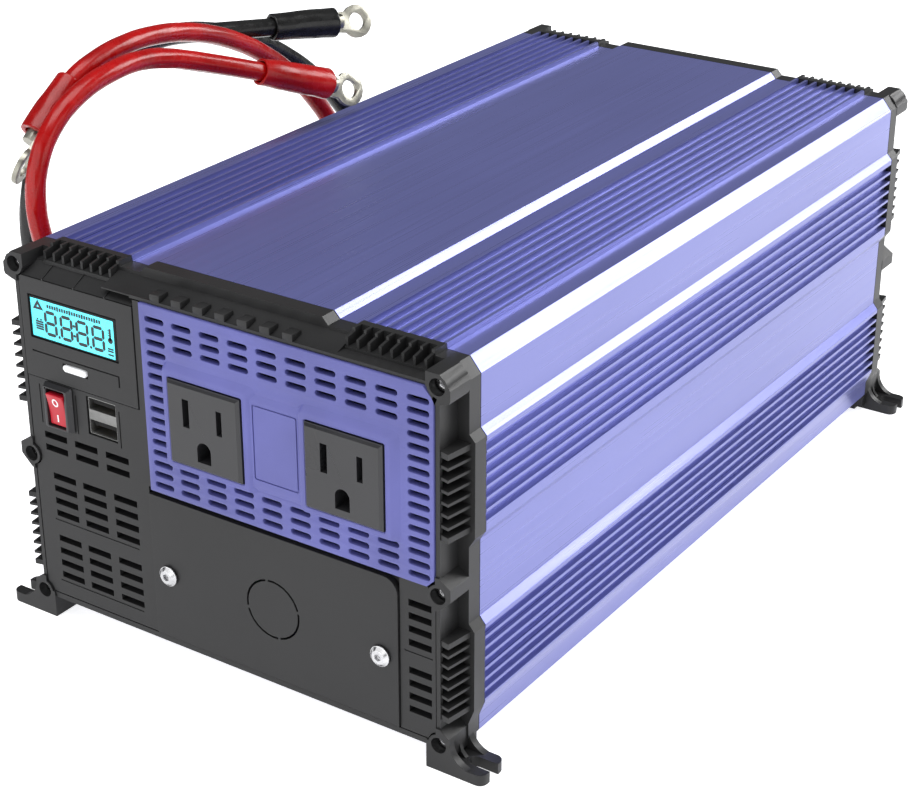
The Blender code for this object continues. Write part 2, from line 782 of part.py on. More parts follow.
def make_switch():
    """Rocker switch: a bezel with a hollow body, and the paddle on its pivot."""
    x, z = ROCKER_X, ROCKER_Z
    bezel = block(
        (x - 5.7, x + 5.7), (FRONT - 1.6, FRONT + 0.4), (z - 7.8, z + 7.8), taper=0.9
    )
    body = block((x - 4.7, x + 4.7), (FRONT + 0.2, FRONT + 13.0), (z - 6.8, z + 6.8))
    hollow = block((x - 3.75, x + 3.75), (FRONT - 3.0, FRONT + 9.5), (z - 6.4, z + 6.4))
    part("switch_housing", cut(fused(bezel, body), hollow), BLACK_PLASTIC)
    half = 5.3
    middle_depth = -3.7
    end_depth = -4.7
    paddle = [(middle_depth, 0.0), (end_depth, half), (-1.6, half - 0.6), (1.6, 1.6)]
    paddle += [(1.6, -1.6), (-1.6, -half + 0.6), (end_depth, -half)]
    rocker = plate(paddle, -3.4, 3.4, "x")
    spin = Matrix.Rotation(ROCKER_TILT, 4, "X")
    pivot = Vector((x, FRONT + ROCKER_PIVOT_Y, z))
    rocker.data.transform(Matrix.Translation(pivot * MM) @ spin)
    part("switch_rocker", rocker, RED_PLASTIC, origin=pivot)


def make_usb():
    """Two stacked USB-A sockets in one shell, each with its contact tongue."""
    x, z = USB_X, USB_Z
    shell = block((x - 5.8, x + 5.8), (FRONT + 0.9, FRONT + 16.0), (z - 6.3, z + 6.3))
    sockets = []
    tongues = []
    for middle in (z + 3.1, z - 3.1):
        sockets.append(
            block((x - 5.3, x + 5.3), (FRONT - 1.0, FRONT + 12.0), (middle - 2.6, middle + 2.6))
        )
        tongues.append(
            block((x - 4.9, x + 4.9), (FRONT + 2.2, FRONT + 12.4), (middle - 0.2, middle + 1.7))
        )
    part("usb_module", fused(cut(shell, *sockets), *tongues), STEEL)


def slot_grid():
    """The outlet panel's vents: a column at each side, and three rows above and below."""
    pitch = 3.68
    height = 1.8
    top_row = 120.5
    rows = [top_row - pitch * i for i in range(16)]
    slots = []
    for row, top in enumerate(rows):
        lefts = [-26.0, 68.8]
        if row < 3 or row > 12:
            lefts += [-15.6 + 10.54 * i for i in range(8)]
        slots += [rectangle(left, left + 7.4, top - height, top) for left in lefts]
    return slots


def make_outlet_panel():
    """The blue panel, with a raised surround at each outlet and a lower bridge between them."""
    chamfer = 2.6
    left, right = COLUMN_X[1] + GAP, PANEL_EDGE_X
    bottom, top = OUTLET_PANEL_BOTTOM_Z, PANEL_TOP_Z
    outline = [(left, bottom), (right - chamfer, bottom), (right, bottom + chamfer)]
    outline += [(right, top - chamfer), (right - chamfer, top), (left, top)]
    half = OUTLET_SIZE / 2 + GAP
    holes = slot_grid()
    openings = []
    surrounds = []
    for x in OUTLET_XS:
        holes.append(rectangle(x - half, x + half, OUTLET_Z - half, OUTLET_Z + half))
        land = half + 2.0
        surrounds.append(
            block(
                (x - land - 0.5, x + land + 2.6),
                (FRONT - 1.4, FRONT + 0.3),
                (OUTLET_Z - land - 0.8, OUTLET_Z + land + 2.4),
                taper=0.0,
            )
        )
        for vert in surrounds[-1].data.vertices:
            if vert.co.y < (FRONT - 1) * MM:
                vert.co.x = (x + math.copysign(land, vert.co.x - x * MM)) * MM
                vert.co.z = (OUTLET_Z + math.copysign(land, vert.co.z - OUTLET_Z * MM)) * MM
        openings.append(
            block(
                (x - half, x + half), (FRONT - 3.0, FRONT + 4.0), (OUTLET_Z - half, OUTLET_Z + half)
            )
        )
    bridge = block(
        (OUTLET_XS[0] + half, OUTLET_XS[1] - half), (FRONT - 0.8, FRONT + 0.3), (74.5, 105.8),
        taper=1.2,
    )
    face = plate(outline, FRONT, FRONT + 2.6, holes=holes)
    body = fused(face, *surrounds, bridge)
    body = cut(body, *openings, *boss_notches(FRONT - 1.0, FRONT + 4.0))
    return part("outlet_panel", body, BLUE_PLASTIC)


def make_outlets():
    """Two receptacles, each with two blade slots and a round-topped ground slot."""
    half = OUTLET_SIZE / 2
    slot_z = OUTLET_Z + 4.3
    for name, x in zip(("outlet_left", "outlet_right"), OUTLET_XS):
        face = block(
            (x - half, x + half), (FRONT - 2.6, FRONT - 1.6), (OUTLET_Z - half, OUTLET_Z + half),
            taper=0.9,
        )
        core = block(
            (x - half, x + half), (FRONT - 1.7, FRONT + 20.0), (OUTLET_Z - half, OUTLET_Z + half)
        )
        deep = (FRONT - 4.0, FRONT + 13.0)
        cutters = []
        for offset, width, height in ((-1, 1.2, 4.6), (1, 1.0, 4.0)):
            middle = x + offset * BLADE_SPACING / 2
            cutters.append(
                block((middle - width, middle + width), deep, (slot_z - height, slot_z + height))
            )
        low = slot_z - GROUND_DROP
        ground = [(x - 2.6, low - 3.0), (x + 2.6, low - 3.0)]
        ground += arc((x, low + 1.2), 2.6, 0, 180, 8)
        cutters.append(plate(ground, *deep))
        part(name, cut(fused(core, face), *cutters), BLACK_PLASTIC)


def make_wiring_cover():
    """The cover over the wiring window, with a half-inch knock-out held by four tabs."""
    left, right, bottom, top = COVER
    corner = (right - COVER_CORNER, top - COVER_CORNER)
    outline = [(left, bottom), (right, bottom)]
    outline += arc(corner, COVER_CORNER, 0, 90, 6)
    outline.append((left, top))
    holes = [circle(spot, PORT_RADIUS, 12) for spot in COVER_SCREWS]
    for start in (15, 105, 195, 285):
        outer = arc(KNOCKOUT, KNOCKOUT_RADIUS, start, start + 84, 7)
        inner = arc(KNOCKOUT, KNOCKOUT_RADIUS - 0.6, start + 84, start, 7)
        holes.append(outer + inner)
    cover = plate(outline, FRONT, FRONT + 2.0, holes=holes)
    part("wiring_cover", cover, BLACK_PLASTIC)
    for label, (x, z) in zip(("left", "right"), COVER_SCREWS):
        centre = (x, 0.0, z)
        head = rod(centre, 3.4, FRONT - 0.9, FRONT - GAP, sides=20)
        dome = rod(centre, 2.2, FRONT - 1.9, FRONT - 0.8, sides=20, end_radius=3.4)
        shank = rod(centre, 1.45, FRONT - 0.5, FRONT + 8.0, sides=10)
        recess = rod(centre, 1.2, FRONT - 3.0, FRONT - 0.8, sides=6)
        screw = cut(fused(head, dome, shank), recess)
        part(f"cover_screw_{label}", screw, STEEL, smooth=True)


# ---------------------------------------------------------------- rear face


def fan_guard(x):
    """Ring slots of a finger guard, split by four spokes."""
    slots = []
    for outer in (26.5, 20.5, 14.5):
        spoke = math.degrees(1.4 / outer)
        for quarter in range(4):
            start = 45 + 90 * quarter + spoke
            end = 135 + 90 * quarter - spoke
            steps = 4
            ring = arc((x, FAN_Z), outer, start, end, steps)
            ring += arc((x, FAN_Z), outer - 4.2, end, start, steps)
            slots.append(ring)
    return slots


def make_rear_panel():
    outline = rectangle(-PANEL_EDGE_X, PANEL_EDGE_X, PANEL_BOTTOM_Z, PANEL_TOP_Z)
    holes = [slot for x in FAN_XS for slot in fan_guard(x)]
    holes += [circle((x, TERMINAL_Z), 6.0, 16) for x in (RED_X, BLACK_X)]
    holes.append(circle((9.0, 24.0), 2.3, 12))
    holes += vent_rows((50.0, 45.0, 40.0, 35.0, 30.0, 25.0, 20.0), (-71.0, -58.0), 10.0)
    holes += vent_rows((50.0, 45.0, 40.0, 35.0, 30.0, 25.0, 20.0), (62.0,), 10.0)
    panel = plate(outline, REAR - 3.2, REAR - 0.8, holes=holes)
    panel = cut(panel, *boss_notches(REAR - 5.0, REAR + 1.0))
    return part("rear_panel", panel, BLACK_PLASTIC)


def fan_frame(x):
    half = FAN_SIZE / 2
    near, far = REAR - 3.5 - FAN_DEPTH, REAR - 3.5
    outline = rectangle(x - half, x + half, FAN_Z - half, FAN_Z + half)
    holes = [circle((x, FAN_Z), FAN_BORE, 28)]
    corners = [(x + sx * 25.0, FAN_Z + sz * 25.0) for sx in (-1, 1) for sz in (-1, 1)]
    holes += [circle(corner, 2.1, 8) for corner in corners]
    shroud = plate(outline, near, far, holes=holes)
    arms = []
    for turn in (0, 120, 240):
        angle = math.radians(turn + 90)
        tip = (x + 30 * math.cos(angle), FAN_Z + 30 * math.sin(angle))
        across = (1.6 * math.sin(angle), -1.6 * math.cos(angle))
        arm = [
            (x + across[0], FAN_Z + across[1]),
            (tip[0] + across[0], tip[1] + across[1]),
            (tip[0] - across[0], tip[1] - across[1]),
            (x - across[0], FAN_Z - across[1]),
        ]
        arms.append(plate(arm, near, near + 2.0))
    hub = rod((x, 0, FAN_Z), 9.5, near, near + 3.0)
    spindle = rod((x, 0, FAN_Z), 1.6, near + 2.0, far - 5.0, sides=12)
    trim = plate(
        circle((x, FAN_Z), 60.0, 32), near - 1, near + 4, holes=[circle((x, FAN_Z), 29.2, 32)]
    )
    spider = cut(fused(hub, *arms, spindle), trim)
    return fused(shroud, spider)


def fan_rotor(x):
    """Hub cap and seven pitched blades, turning on the frame's spindle."""
    near, far = REAR - 3.5 - FAN_DEPTH + 3.6, REAR - 4.6
    hub = rod((x, 0, FAN_Z), 12.0, near, far)
    bore = rod((x, 0, FAN_Z), 2.0, near - 1.0, far - 0.9, sides=12)
    blades = []
    for i in range(7):
        blade = block((10.0, 27.2), (-0.7, 0.7), (-8.6, 8.6))
        pitch = Matrix.Rotation(math.radians(52), 4, "X")
        lay = Matrix.Rotation(math.radians(360 * i / 7), 4, "Y")
        middle = Matrix.Translation(Vector((x, (near + far) / 2 - 0.6, FAN_Z)) * MM)
        blade.data.transform(middle @ lay @ pitch)
        blades.append(blade)
    return cut(fused(hub, *blades), bore)


def make_fans():
    for label, x in zip(("left", "right"), FAN_XS):
        part(f"fan_frame_{label}", fan_frame(x), BLACK_PLASTIC, smooth=True)
        rotor_middle = (x, REAR - 3.5 - FAN_DEPTH / 2, FAN_Z)
        part(f"fan_rotor_{label}", fan_rotor(x), BLACK_PLASTIC, origin=rotor_middle)


def make_terminals():
    """Battery terminals: an insulating collar, a brass stud with its own flange, and a nut."""
    for label, x, colour in (("red", RED_X, RED_PLASTIC), ("black", BLACK_X, BLACK_PLASTIC)):
        centre = (x, 0.0, TERMINAL_Z)
        outside = rod(centre, COLLAR_RADIUS, REAR - 0.5, REAR + COLLAR_HEIGHT, sides=24)
        inside = rod(centre, 5.7, REAR - 10.0, REAR, sides=16)
        hole = rod(centre, STUD_RADIUS + GAP, REAR - 11.0, REAR + COLLAR_HEIGHT + 2, sides=14)
        collar = cut(fused(outside, inside), hole)
        part(f"terminal_collar_{label}", collar, colour, smooth=True)
        stud = rod(centre, STUD_RADIUS, REAR - 16.0, REAR + 18.0, sides=16)
        head = rod(centre, 6.0, REAR - 13.0, REAR - 10.3, sides=6)
        part(f"terminal_stud_{label}", fused(stud, head), BRASS, smooth=True)
        seat = REAR + COLLAR_HEIGHT + GAP + LUG_THICKNESS + GAP
        nut = rod(centre, 5.6, seat, seat + 5.0, sides=6)
        thread = rod(centre, STUD_RADIUS + GAP, seat - 1, seat + 6.0, sides=14)
        part(f"terminal_nut_{label}", cut(nut, thread), STEEL)


def make_ground_screw():
    centre = (9.0, 0.0, 24.0)
    head = rod(centre, 4.0, REAR - 0.5, REAR + 1.8, sides=6)
    washer = rod(centre, 5.0, REAR - 0.5, REAR + 0.4, sides=24)
    shank = rod(centre, 1.9, REAR - 10.0, REAR + 0.2, sides=12)
    part("ground_screw", fused(head, washer, shank), STEEL)


# ---------------------------------------------------------------- inside


def capacitor(centre, radius, height):
    bottom = BOARD_SLOT_Z[1] + GAP
    can = rod((*centre, 0.0), radius, bottom, bottom + height, "z", sides=24)
    groove_z = bottom + height - 4.0
    ring = plate(
        circle(centre, radius + 2, 24), groove_z, groove_z + 1.4, "z",
        holes=[circle(centre, radius - 0.7, 24)],
    )
    return cut(can, ring)


def transformer(x, y):
    """A ferrite core round a wound bobbin."""
    bottom = BOARD_SLOT_Z[1] + GAP
    core = block((x - 21, x + 21), (y - 17, y + 17), (bottom + 2, bottom + 36))
    window = block((x - 15, x + 15), (y - 20, y + 20), (bottom + 8, bottom + 30))
    post = block((x - 6, x + 6), (y - 17, y + 17), (bottom + 5, bottom + 33))
    coil = rod((x, y, 0), 14.5, bottom + 9, bottom + 29, "z", sides=24)
    base = block((x - 16, x + 16), (y - 20, y + 20), (bottom, bottom + 3))
    return fused(cut(core, window), post, coil, base)


def make_inside():
    z = BOARD_SLOT_Z[0] + 0.25
    board = block((-79.9, 79.9), (-120.0, 118.0), (z, z + 1.6))
    part("main_board", board, CIRCUIT_BOARD)
    part("transformer_front", transformer(-30.0, 5.0), FERRITE)
    part("transformer_rear", transformer(-30.0, 55.0), FERRITE)
    part("bus_capacitor", capacitor((24.0, -20.0), 15.0, 42.0), CAPACITOR, smooth=True)
    part("input_capacitor_left", capacitor((10.0, 88.0), 9.0, 32.0), CAPACITOR, smooth=True)
    part("input_capacitor_right", capacitor((34.0, 88.0), 9.0, 32.0), CAPACITOR, smooth=True)
    for label, side in (("left", -1), ("right", 1)):
        low, high = sorted((side * 66.0, side * 76.0))
        foot_low, foot_high = sorted((side * 75.0, side * (WALL_X - GAP)))
        web = block((low, high), (-60.0, 95.0), (20.0, 24.0))
        face = block((foot_low, foot_high), (-60.0, 95.0), (20.0, 52.0))
        part(f"heat_bar_{label}", fused(web, face), BARE_METAL)
    pole_block = block((2.0, 36.0), (-140.0, -126.0), (22.0, 36.0))
    entries = [block((x - 4, x + 4), (-141.0, -129.0), (25.0, 33.0)) for x in (8.0, 19.0, 30.0)]
    legs = block((4.0, 34.0), (-126.5, -119.0), (BOARD_SLOT_Z[1] + GAP, 30.0))
    part("ac_terminal_block", fused(cut(pole_block, *entries), legs), BLACK_PLASTIC)


# ---------------------------------------------------------------- battery cables


def oval_point(angle, oval):
    """A point of a tilted upright oval, at an angle in degrees."""
    y, z, half_long, half_short, tilt, x = oval
    turn, lean = math.radians(angle), math.radians(tilt)
    along, across = half_long * math.cos(turn), half_short * math.sin(turn)
    return Vector(
        (
            x,
            y + along * math.cos(lean) - across * math.sin(lean),
            z + along * math.sin(lean) + across * math.cos(lean),
        )
    )


def coil_path(ovals, start, turned, leaves, arrives):
    """Winds round the first oval, then passes over to the second one and winds on."""
    first, second = ovals
    points = []
    for i in range(round(turned / COIL_STEP) + 1):
        done = i * COIL_STEP
        share = min(max((done - leaves) / (arrives - leaves), 0.0), 1.0)
        oval = [a + (b - a) * share for a, b in zip(first, second)]
        points.append(oval_point(start - done, oval))
    return points


def bend(start, corner, end, steps=6):
    """A quadratic curve that leaves the start and reaches the end along the corner's two legs."""
    start, corner, end = Vector(start), Vector(corner), Vector(end)
    points = []
    for i in range(steps + 1):
        t = i / steps
        points.append(start * (1 - t) ** 2 + corner * (2 * t * (1 - t)) + end * t**2)
    return points


def tube(name, points, radius, material):
    """A round cable along the points, as one closed mesh."""
    curve = bpy.data.curves.new(name, "CURVE")
    curve.dimensions = "3D"
    curve.bevel_depth = radius * MM
    curve.bevel_resolution = 2
    curve.use_fill_caps = True
    spline = curve.splines.new("POLY")
    spline.points.add(len(points) - 1)
    for knot, point in zip(spline.points, points):
        knot.co = (*(point * MM), 1.0)
    guide = bpy.data.objects.new(name, curve)
    CUTTERS.objects.link(guide)
    mesh = baked(guide)
    bpy.data.objects.remove(guide, do_unlink=True)
    return part(name, new_object(name, mesh), material, smooth=True)


def lug():
    """A ring lug along +Y. The ring lies in the XY plane, and the barrel sits on top of that plane."""
    lift = LUG_BARREL_RADIUS - LUG_THICKNESS / 2
    barrel = rod((0, 0, lift), LUG_BARREL_RADIUS, 0.0, LUG_BARREL, sides=12)
    palm = [(-3.4, LUG_BARREL - 3.0), (3.4, LUG_BARREL - 3.0)]
    palm += arc((0.0, LUG_REACH), LUG_RADIUS, -50, 230, 14)
    hole = circle((0.0, LUG_REACH), STUD_RADIUS + GAP, 14)
    ring = plate(palm, -LUG_THICKNESS / 2, LUG_THICKNESS / 2, "z", holes=[hole])
    piece = fused(barrel, ring)
    piece.data.transform(Matrix.Translation(Vector((0, 0, -lift)) * MM))
    return piece


def sleeve(length):
    """Heat-shrink sleeve along +Y, open at both ends and wider at the lug."""
    outside = rod((0, 0, 0), SLEEVE_START, 0.0, length, sides=16, end_radius=SLEEVE_END)
    inside = rod((0, 0, 0), CABLE_RADIUS + 0.4, -1.0, length + 1.0, sides=16)
    return cut(outside, inside)


def aimed(piece, place, heading, normal):
    """Moves a piece built along +Y, so that its +Y follows the heading and its +Z the normal."""
    heading = heading.normalized()
    side = heading.cross(normal).normalized()
    turn = Matrix((side, heading, side.cross(heading))).transposed().to_4x4()
    piece.data.transform(Matrix.Translation(place * MM) @ turn)
    return piece


def cable_end(label, place, heading, normal, insulation, length):
    """A sleeve and a lug at the end of a cable that stops at place."""
    shrink = aimed(
        sleeve(length), place - heading.normalized() * (length - SLEEVE_PAST), heading, normal
    )
    part(f"{label}_sleeve", shrink, insulation, smooth=True)
    ring = aimed(lug(), place + heading.normalized() * GAP, heading, normal)
    part(f"{label}_lug", ring, TINNED_COPPER, smooth=True)


def loose_end(near, hole):
    """A straight lead from a coil's last point at near: the cable's end, and the way it points."""
    heading = (Vector(hole) - near).normalized()
    return Vector(hole) - heading * (LUG_REACH + GAP), heading


def make_red_cable():
    """Both ends are loose: one at the front of the coil, and one above the case."""
    turns = coil_path(RED_OVALS, *RED_COIL)
    front, front_heading = loose_end(turns[0], RED_FRONT_HOLE)
    rear, rear_heading = loose_end(turns[-1], RED_REAR_HOLE)
    tube("red_cable", [front, *turns, rear], CABLE_RADIUS, RED_RUBBER)
    cable_end("red_front", front, front_heading, Vector(RED_FRONT_FACING), RED_RUBBER, 22.0)
    cable_end("red_rear", rear, rear_heading, Vector(FREE_FACING), RED_RUBBER, 29.0)


def make_black_cable():
    """From its terminal down to the floor, round the rear corner and into the coil."""
    rise = Vector((1, 0, 1)).normalized()
    run_y = REAR + COLLAR_HEIGHT + GAP + LUG_BARREL_RADIUS
    run_x = BLACK_OVALS[0][5]
    floor_z = CABLE_RADIUS + 0.6
    corner = 16.0
    end = Vector((BLACK_X, run_y, TERMINAL_Z)) - rise * (LUG_REACH + GAP)
    lead_end = end - rise * 9.0
    corner_x = lead_end.x - (lead_end.z - floor_z)
    turns = coil_path(BLACK_OVALS, *BLACK_COIL)
    free, free_heading = loose_end(turns[-1], BLACK_FREE_HOLE)
    points = [end]
    points += bend(lead_end, (corner_x, run_y, floor_z), (corner_x - 12.0, run_y, floor_z))
    points += bend(
        (run_x + corner, run_y, floor_z),
        (run_x, run_y, floor_z),
        (run_x, run_y - corner, floor_z),
    )
    points += [turns[0] + Vector((0, 45.0, 0)), *turns, free]
    tube("black_cable", points, CABLE_RADIUS, BLACK_RUBBER)
    cable_end("black_terminal", end, rise, Vector((0, 1, 0)), BLACK_RUBBER, 20.0)
    cable_end("black_free", free, free_heading, Vector(FREE_FACING), BLACK_RUBBER, 26.0)


# ---------------------------------------------------------------- assembly

make_case()
make_frame("front_frame", front=True)
make_frame("rear_frame", front=False)
make_frame_screws()
make_front_grille()
make_control_panel()
make_display()
make_menu_button()
make_switch()
make_usb()
make_outlet_panel()
make_outlets()
make_wiring_cover()
make_rear_panel()
make_fans()
make_terminals()
make_ground_screw()
make_inside()
make_red_cable()
make_black_cable()
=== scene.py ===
"""Looks of the power inverter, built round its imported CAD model.

Frame: +X right, +Y to the rear, +Z up, in metres. Sizes written in millimetres go through MM.
"""

import json
import math

import bmesh
import bpy
from mathutils import Matrix, Vector


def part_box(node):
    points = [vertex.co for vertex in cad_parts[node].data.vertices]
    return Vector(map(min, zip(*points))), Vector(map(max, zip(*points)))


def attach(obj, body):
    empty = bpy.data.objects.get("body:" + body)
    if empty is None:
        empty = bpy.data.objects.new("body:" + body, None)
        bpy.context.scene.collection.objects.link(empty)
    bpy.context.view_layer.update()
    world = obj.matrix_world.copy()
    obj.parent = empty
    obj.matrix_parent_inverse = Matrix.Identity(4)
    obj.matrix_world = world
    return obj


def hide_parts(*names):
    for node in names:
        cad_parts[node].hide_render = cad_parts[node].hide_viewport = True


MM = 0.001

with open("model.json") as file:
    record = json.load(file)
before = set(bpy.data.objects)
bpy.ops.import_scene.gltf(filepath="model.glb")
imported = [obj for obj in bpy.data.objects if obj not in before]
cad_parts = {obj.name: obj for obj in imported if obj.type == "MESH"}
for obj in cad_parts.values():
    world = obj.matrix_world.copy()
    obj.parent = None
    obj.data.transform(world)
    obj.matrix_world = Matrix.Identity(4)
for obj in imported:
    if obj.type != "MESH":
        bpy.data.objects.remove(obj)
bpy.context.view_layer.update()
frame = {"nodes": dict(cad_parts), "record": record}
nodes = frame["nodes"]

JOINTS = {joint["name"]: joint for joint in frame["record"]["behaviour"]["joints"]}
ROCKER_JOINT = JOINTS["switch_rock"]
ROCKER_BODY = "rocker"
MENU_BODY = "menu"


# ---------------------------------------------------------------- materials


class Look:
    """A Principled material whose colour, roughness and relief come from nodes."""

    def __init__(self, name, metallic=0.0, coat=0.0, specular=0.5):
        self.material = bpy.data.materials.new(name)
        self.material.use_nodes = True
        self.tree = self.material.node_tree
        self.shader = self.tree.nodes["Principled BSDF"]
        self.set("Metallic", metallic)
        self.set("Coat Weight", coat)
        self.set("Coat Roughness", 0.12)
        self.set("Specular IOR Level", specular)
        self.place = self.add("ShaderNodeTexCoord").outputs["Object"]
        self.normal = None

    def set(self, name, value):
        self.shader.inputs[name].default_value = value

    def add(self, kind, **settings):
        node = self.tree.nodes.new(kind)
        for key, value in settings.items():
            setattr(node, key, value)
        return node

    def link(self, source, target):
        self.tree.links.new(source, target)

    def noise(self, scale, stretch=(1, 1, 1), detail=3.0, rough=0.5):
        """Noise in object space. Scale is in cycles per metre, and stretch multiplies it."""
        mapping = self.add("ShaderNodeMapping")
        mapping.inputs["Scale"].default_value = stretch
        self.link(self.place, mapping.inputs["Vector"])
        texture = self.add("ShaderNodeTexNoise")
        texture.inputs["Scale"].default_value = scale
        texture.inputs["Detail"].default_value = detail
        texture.inputs["Roughness"].default_value = rough
        self.link(mapping.outputs["Vector"], texture.inputs["Vector"])
        return texture.outputs["Fac"]

    def spread(self, value, low, high, from_low=0.3, from_high=0.7):
        """The value's usual span turned into low to high."""
        span = self.add("ShaderNodeMapRange")
        for key, number in zip(
            ("From Min", "From Max", "To Min", "To Max"), (from_low, from_high, low, high)
        ):
            span.inputs[key].default_value = number
        self.link(value, span.inputs["Value"])
        return span.outputs["Result"]

    def mix(self, factor, first, second):
        """Colour between first and second. Each is a colour or a socket."""
        node = self.add("ShaderNodeMix", data_type="RGBA")
        self.link(factor, node.inputs["Factor"])
        for socket, colour in ((node.inputs[6], first), (node.inputs[7], second)):
            if isinstance(colour, bpy.types.NodeSocket):
                self.link(colour, socket)
            else:
                socket.default_value = (*colour, 1.0)
        return node.outputs[2]

    def colour(self, first, second, factor):
        """Base colour between two colours. Returns the socket, for a further mix."""
        mixed = self.mix(factor, first, second)
        self.link(mixed, self.shader.inputs["Base Color"])
        return mixed

    def roughness(self, low, high, factor):
        self.link(self.spread(factor, low, high), self.shader.inputs["Roughness"])

    def bump(self, height, strength, distance):
        """Adds relief on top of any relief already there. Distance is in metres."""
        node = self.add("ShaderNodeBump")
        node.inputs["Strength"].default_value = strength
        node.inputs["Distance"].default_value = distance
        self.link(height, node.inputs["Height"])
        if self.normal:
            self.link(self.normal, node.inputs["Normal"])
        self.normal = node.outputs["Normal"]
        self.link(self.normal, self.shader.inputs["Normal"])


def tint(colour, amount):
    return tuple(min(1.0, channel * amount) for channel in colour)


def moulded(name, colour, roughness, grain=0.25, coat=0.0, metallic=0.0, specular=0.5):
    """Moulded plastic: fine spark-eroded grain, and faint cloudiness in colour and sheen."""
    look = Look(name, metallic=metallic, coat=coat, specular=specular)
    cloud = look.noise(35.0, detail=4.0)
    look.colour(tint(colour, 0.88), tint(colour, 1.12), look.spread(cloud, 0.0, 1.0))
    look.roughness(roughness - 0.04, roughness + 0.05, cloud)
    if grain:
        look.bump(look.noise(2600.0, detail=2.0), grain, 0.00004)
    return look.material


def anodised(name, colour):
    """Blue aluminium extrusion: fine die lines along Y, with slow changes in tone."""
    look = Look(name, metallic=0.55, coat=0.15)
    lines = look.noise(1400.0, stretch=(1.0, 0.006, 1.0), detail=2.0)
    cloud = look.noise(9.0, detail=3.0)
    tone = look.mix(look.spread(cloud, 0.0, 1.0), tint(colour, 0.93), tint(colour, 1.06))
    look.colour(tone, tint(colour, 1.15), look.spread(lines, 0.0, 0.35))
    look.roughness(0.26, 0.36, lines)
    look.bump(lines, 0.12, 0.00003)
    return look.material


def metal(name, colour, roughness, scratch=0.15, scale=900.0, stretch=(1, 1, 1)):
    """Bare or plated metal with fine scratches and a slightly cloudy sheen."""
    look = Look(name, metallic=1.0)
    fine = look.noise(scale, stretch=stretch, detail=4.0)
    cloud = look.noise(120.0, detail=3.0)
    look.colour(tint(colour, 0.85), tint(colour, 1.08), look.spread(cloud, 0.0, 1.0))
    look.roughness(roughness - 0.06, roughness + 0.1, fine)
    look.bump(fine, scratch, 0.00003)
    return look.material


def insulation(name, colour, deep):
    """Glossy cable sheath, with slow dents and a faint extrusion grain."""
    look = Look(name, coat=0.12, specular=0.3)
    cloud = look.noise(60.0, detail=3.0)
    look.colour(deep, colour, look.spread(cloud, 0.0, 1.0))
    look.roughness(0.2, 0.34, look.noise(300.0, detail=3.0))
    look.bump(look.noise(140.0, detail=1.0), 0.12, 0.0003)
    return look.material


def circuit_board():
    look = Look("circuit_board", coat=0.3)
    tracks = look.noise(220.0, stretch=(1.0, 0.35, 1.0), detail=5.0)
    look.colour((0.01, 0.1, 0.03), (0.03, 0.2, 0.07), look.spread(tracks, 0.0, 1.0, 0.45, 0.55))
    look.roughness(0.3, 0.5, tracks)
    look.bump(tracks, 0.3, 0.0001)
    return look.material


def display_glow():
    """Backlit cyan display, its brightness varying a little from place to place."""
    look = Look("display", coat=0.5)
    cloud = look.noise(30.0, detail=2.0)
    glow = look.mix(look.spread(cloud, 0.0, 1.0), (0.06, 0.72, 0.88), (0.1, 0.86, 1.0))
    look.link(glow, look.shader.inputs["Base Color"])
    look.link(glow, look.shader.inputs["Emission Color"])
    look.set("Emission Strength", 0.45)
    look.roughness(0.2, 0.3, cloud)
    return look.material


def clear_window():
    look = Look("clear_window", coat=0.4)
    haze = look.noise(80.0, detail=3.0)
    look.colour((0.95, 0.99, 1.0), (1.0, 1.0, 1.0), haze)
    look.roughness(0.03, 0.08, haze)
    look.set("Transmission Weight", 1.0)
    look.set("IOR", 1.05)
    look.set("Alpha", 0.12)
    return look.material


BLUE = (0.15, 0.162, 0.41)

MATERIALS = {
    "blue_aluminium": anodised("blue_aluminium", BLUE),
    "black_plastic": moulded("black_plastic", (0.018, 0.018, 0.0185), 0.4, specular=0.3),
    "gloss_black_plastic": moulded("gloss_black_plastic", (0.02, 0.02, 0.022), 0.3, grain=0.1),
    "blue_plastic": moulded("blue_plastic", (0.105, 0.11, 0.33), 0.42, grain=0.15, specular=0.35),
    "red_plastic": moulded("red_plastic", (0.46, 0.008, 0.022), 0.35, grain=0.05),
    "white_plastic": moulded("white_plastic", (0.82, 0.83, 0.85), 0.35, grain=0.05),
    "clear_window": clear_window(),
    "display": display_glow(),
    "steel": metal("steel", (0.6, 0.6, 0.61), 0.24),
    "brass": metal("brass", (0.72, 0.52, 0.22), 0.28),
    "tinned_copper": metal("tinned_copper", (0.36, 0.35, 0.3), 0.38, scratch=0.3),
    "bare_aluminium": metal("bare_aluminium", (0.68, 0.68, 0.7), 0.4, stretch=(1, 0.01, 1)),
    "circuit_board": circuit_board(),
    "ferrite": moulded("ferrite", (0.05, 0.048, 0.045), 0.55, grain=0.5),
    "capacitor_sleeve": moulded("capacitor_sleeve", (0.02, 0.02, 0.07), 0.3, grain=0.05, coat=0.3),
    "red_insulation": insulation("red_insulation", (0.42, 0.003, 0.003), (0.24, 0.001, 0.001)),
    "black_insulation": insulation(
        "black_insulation", (0.012, 0.012, 0.012), (0.005, 0.005, 0.005)
    ),
}
INK = moulded("display_ink", (0.006, 0.012, 0.016), 0.4, grain=0.0)
DULL_STEEL = metal("dull_steel", (0.24, 0.24, 0.235), 0.48)
# Black plastic made darker and less shiny than the black plastic: painted shade for the display's
# recessed surround and the insides of the USB ports.
BLACK_AND_PAINTED_SHADE = moulded("black_and_painted_recess_shade", (0.006, 0.006, 0.006), 0.6, grain=0.1, specular=0.2)


# ---------------------------------------------------------------- measuring and building


def limits(node):
    """A CAD node's limits at rest in millimetres: x0, x1, y0, y1, z0, z1."""
    low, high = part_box(node)
    return [value / MM for axis in zip(low, high) for value in axis]


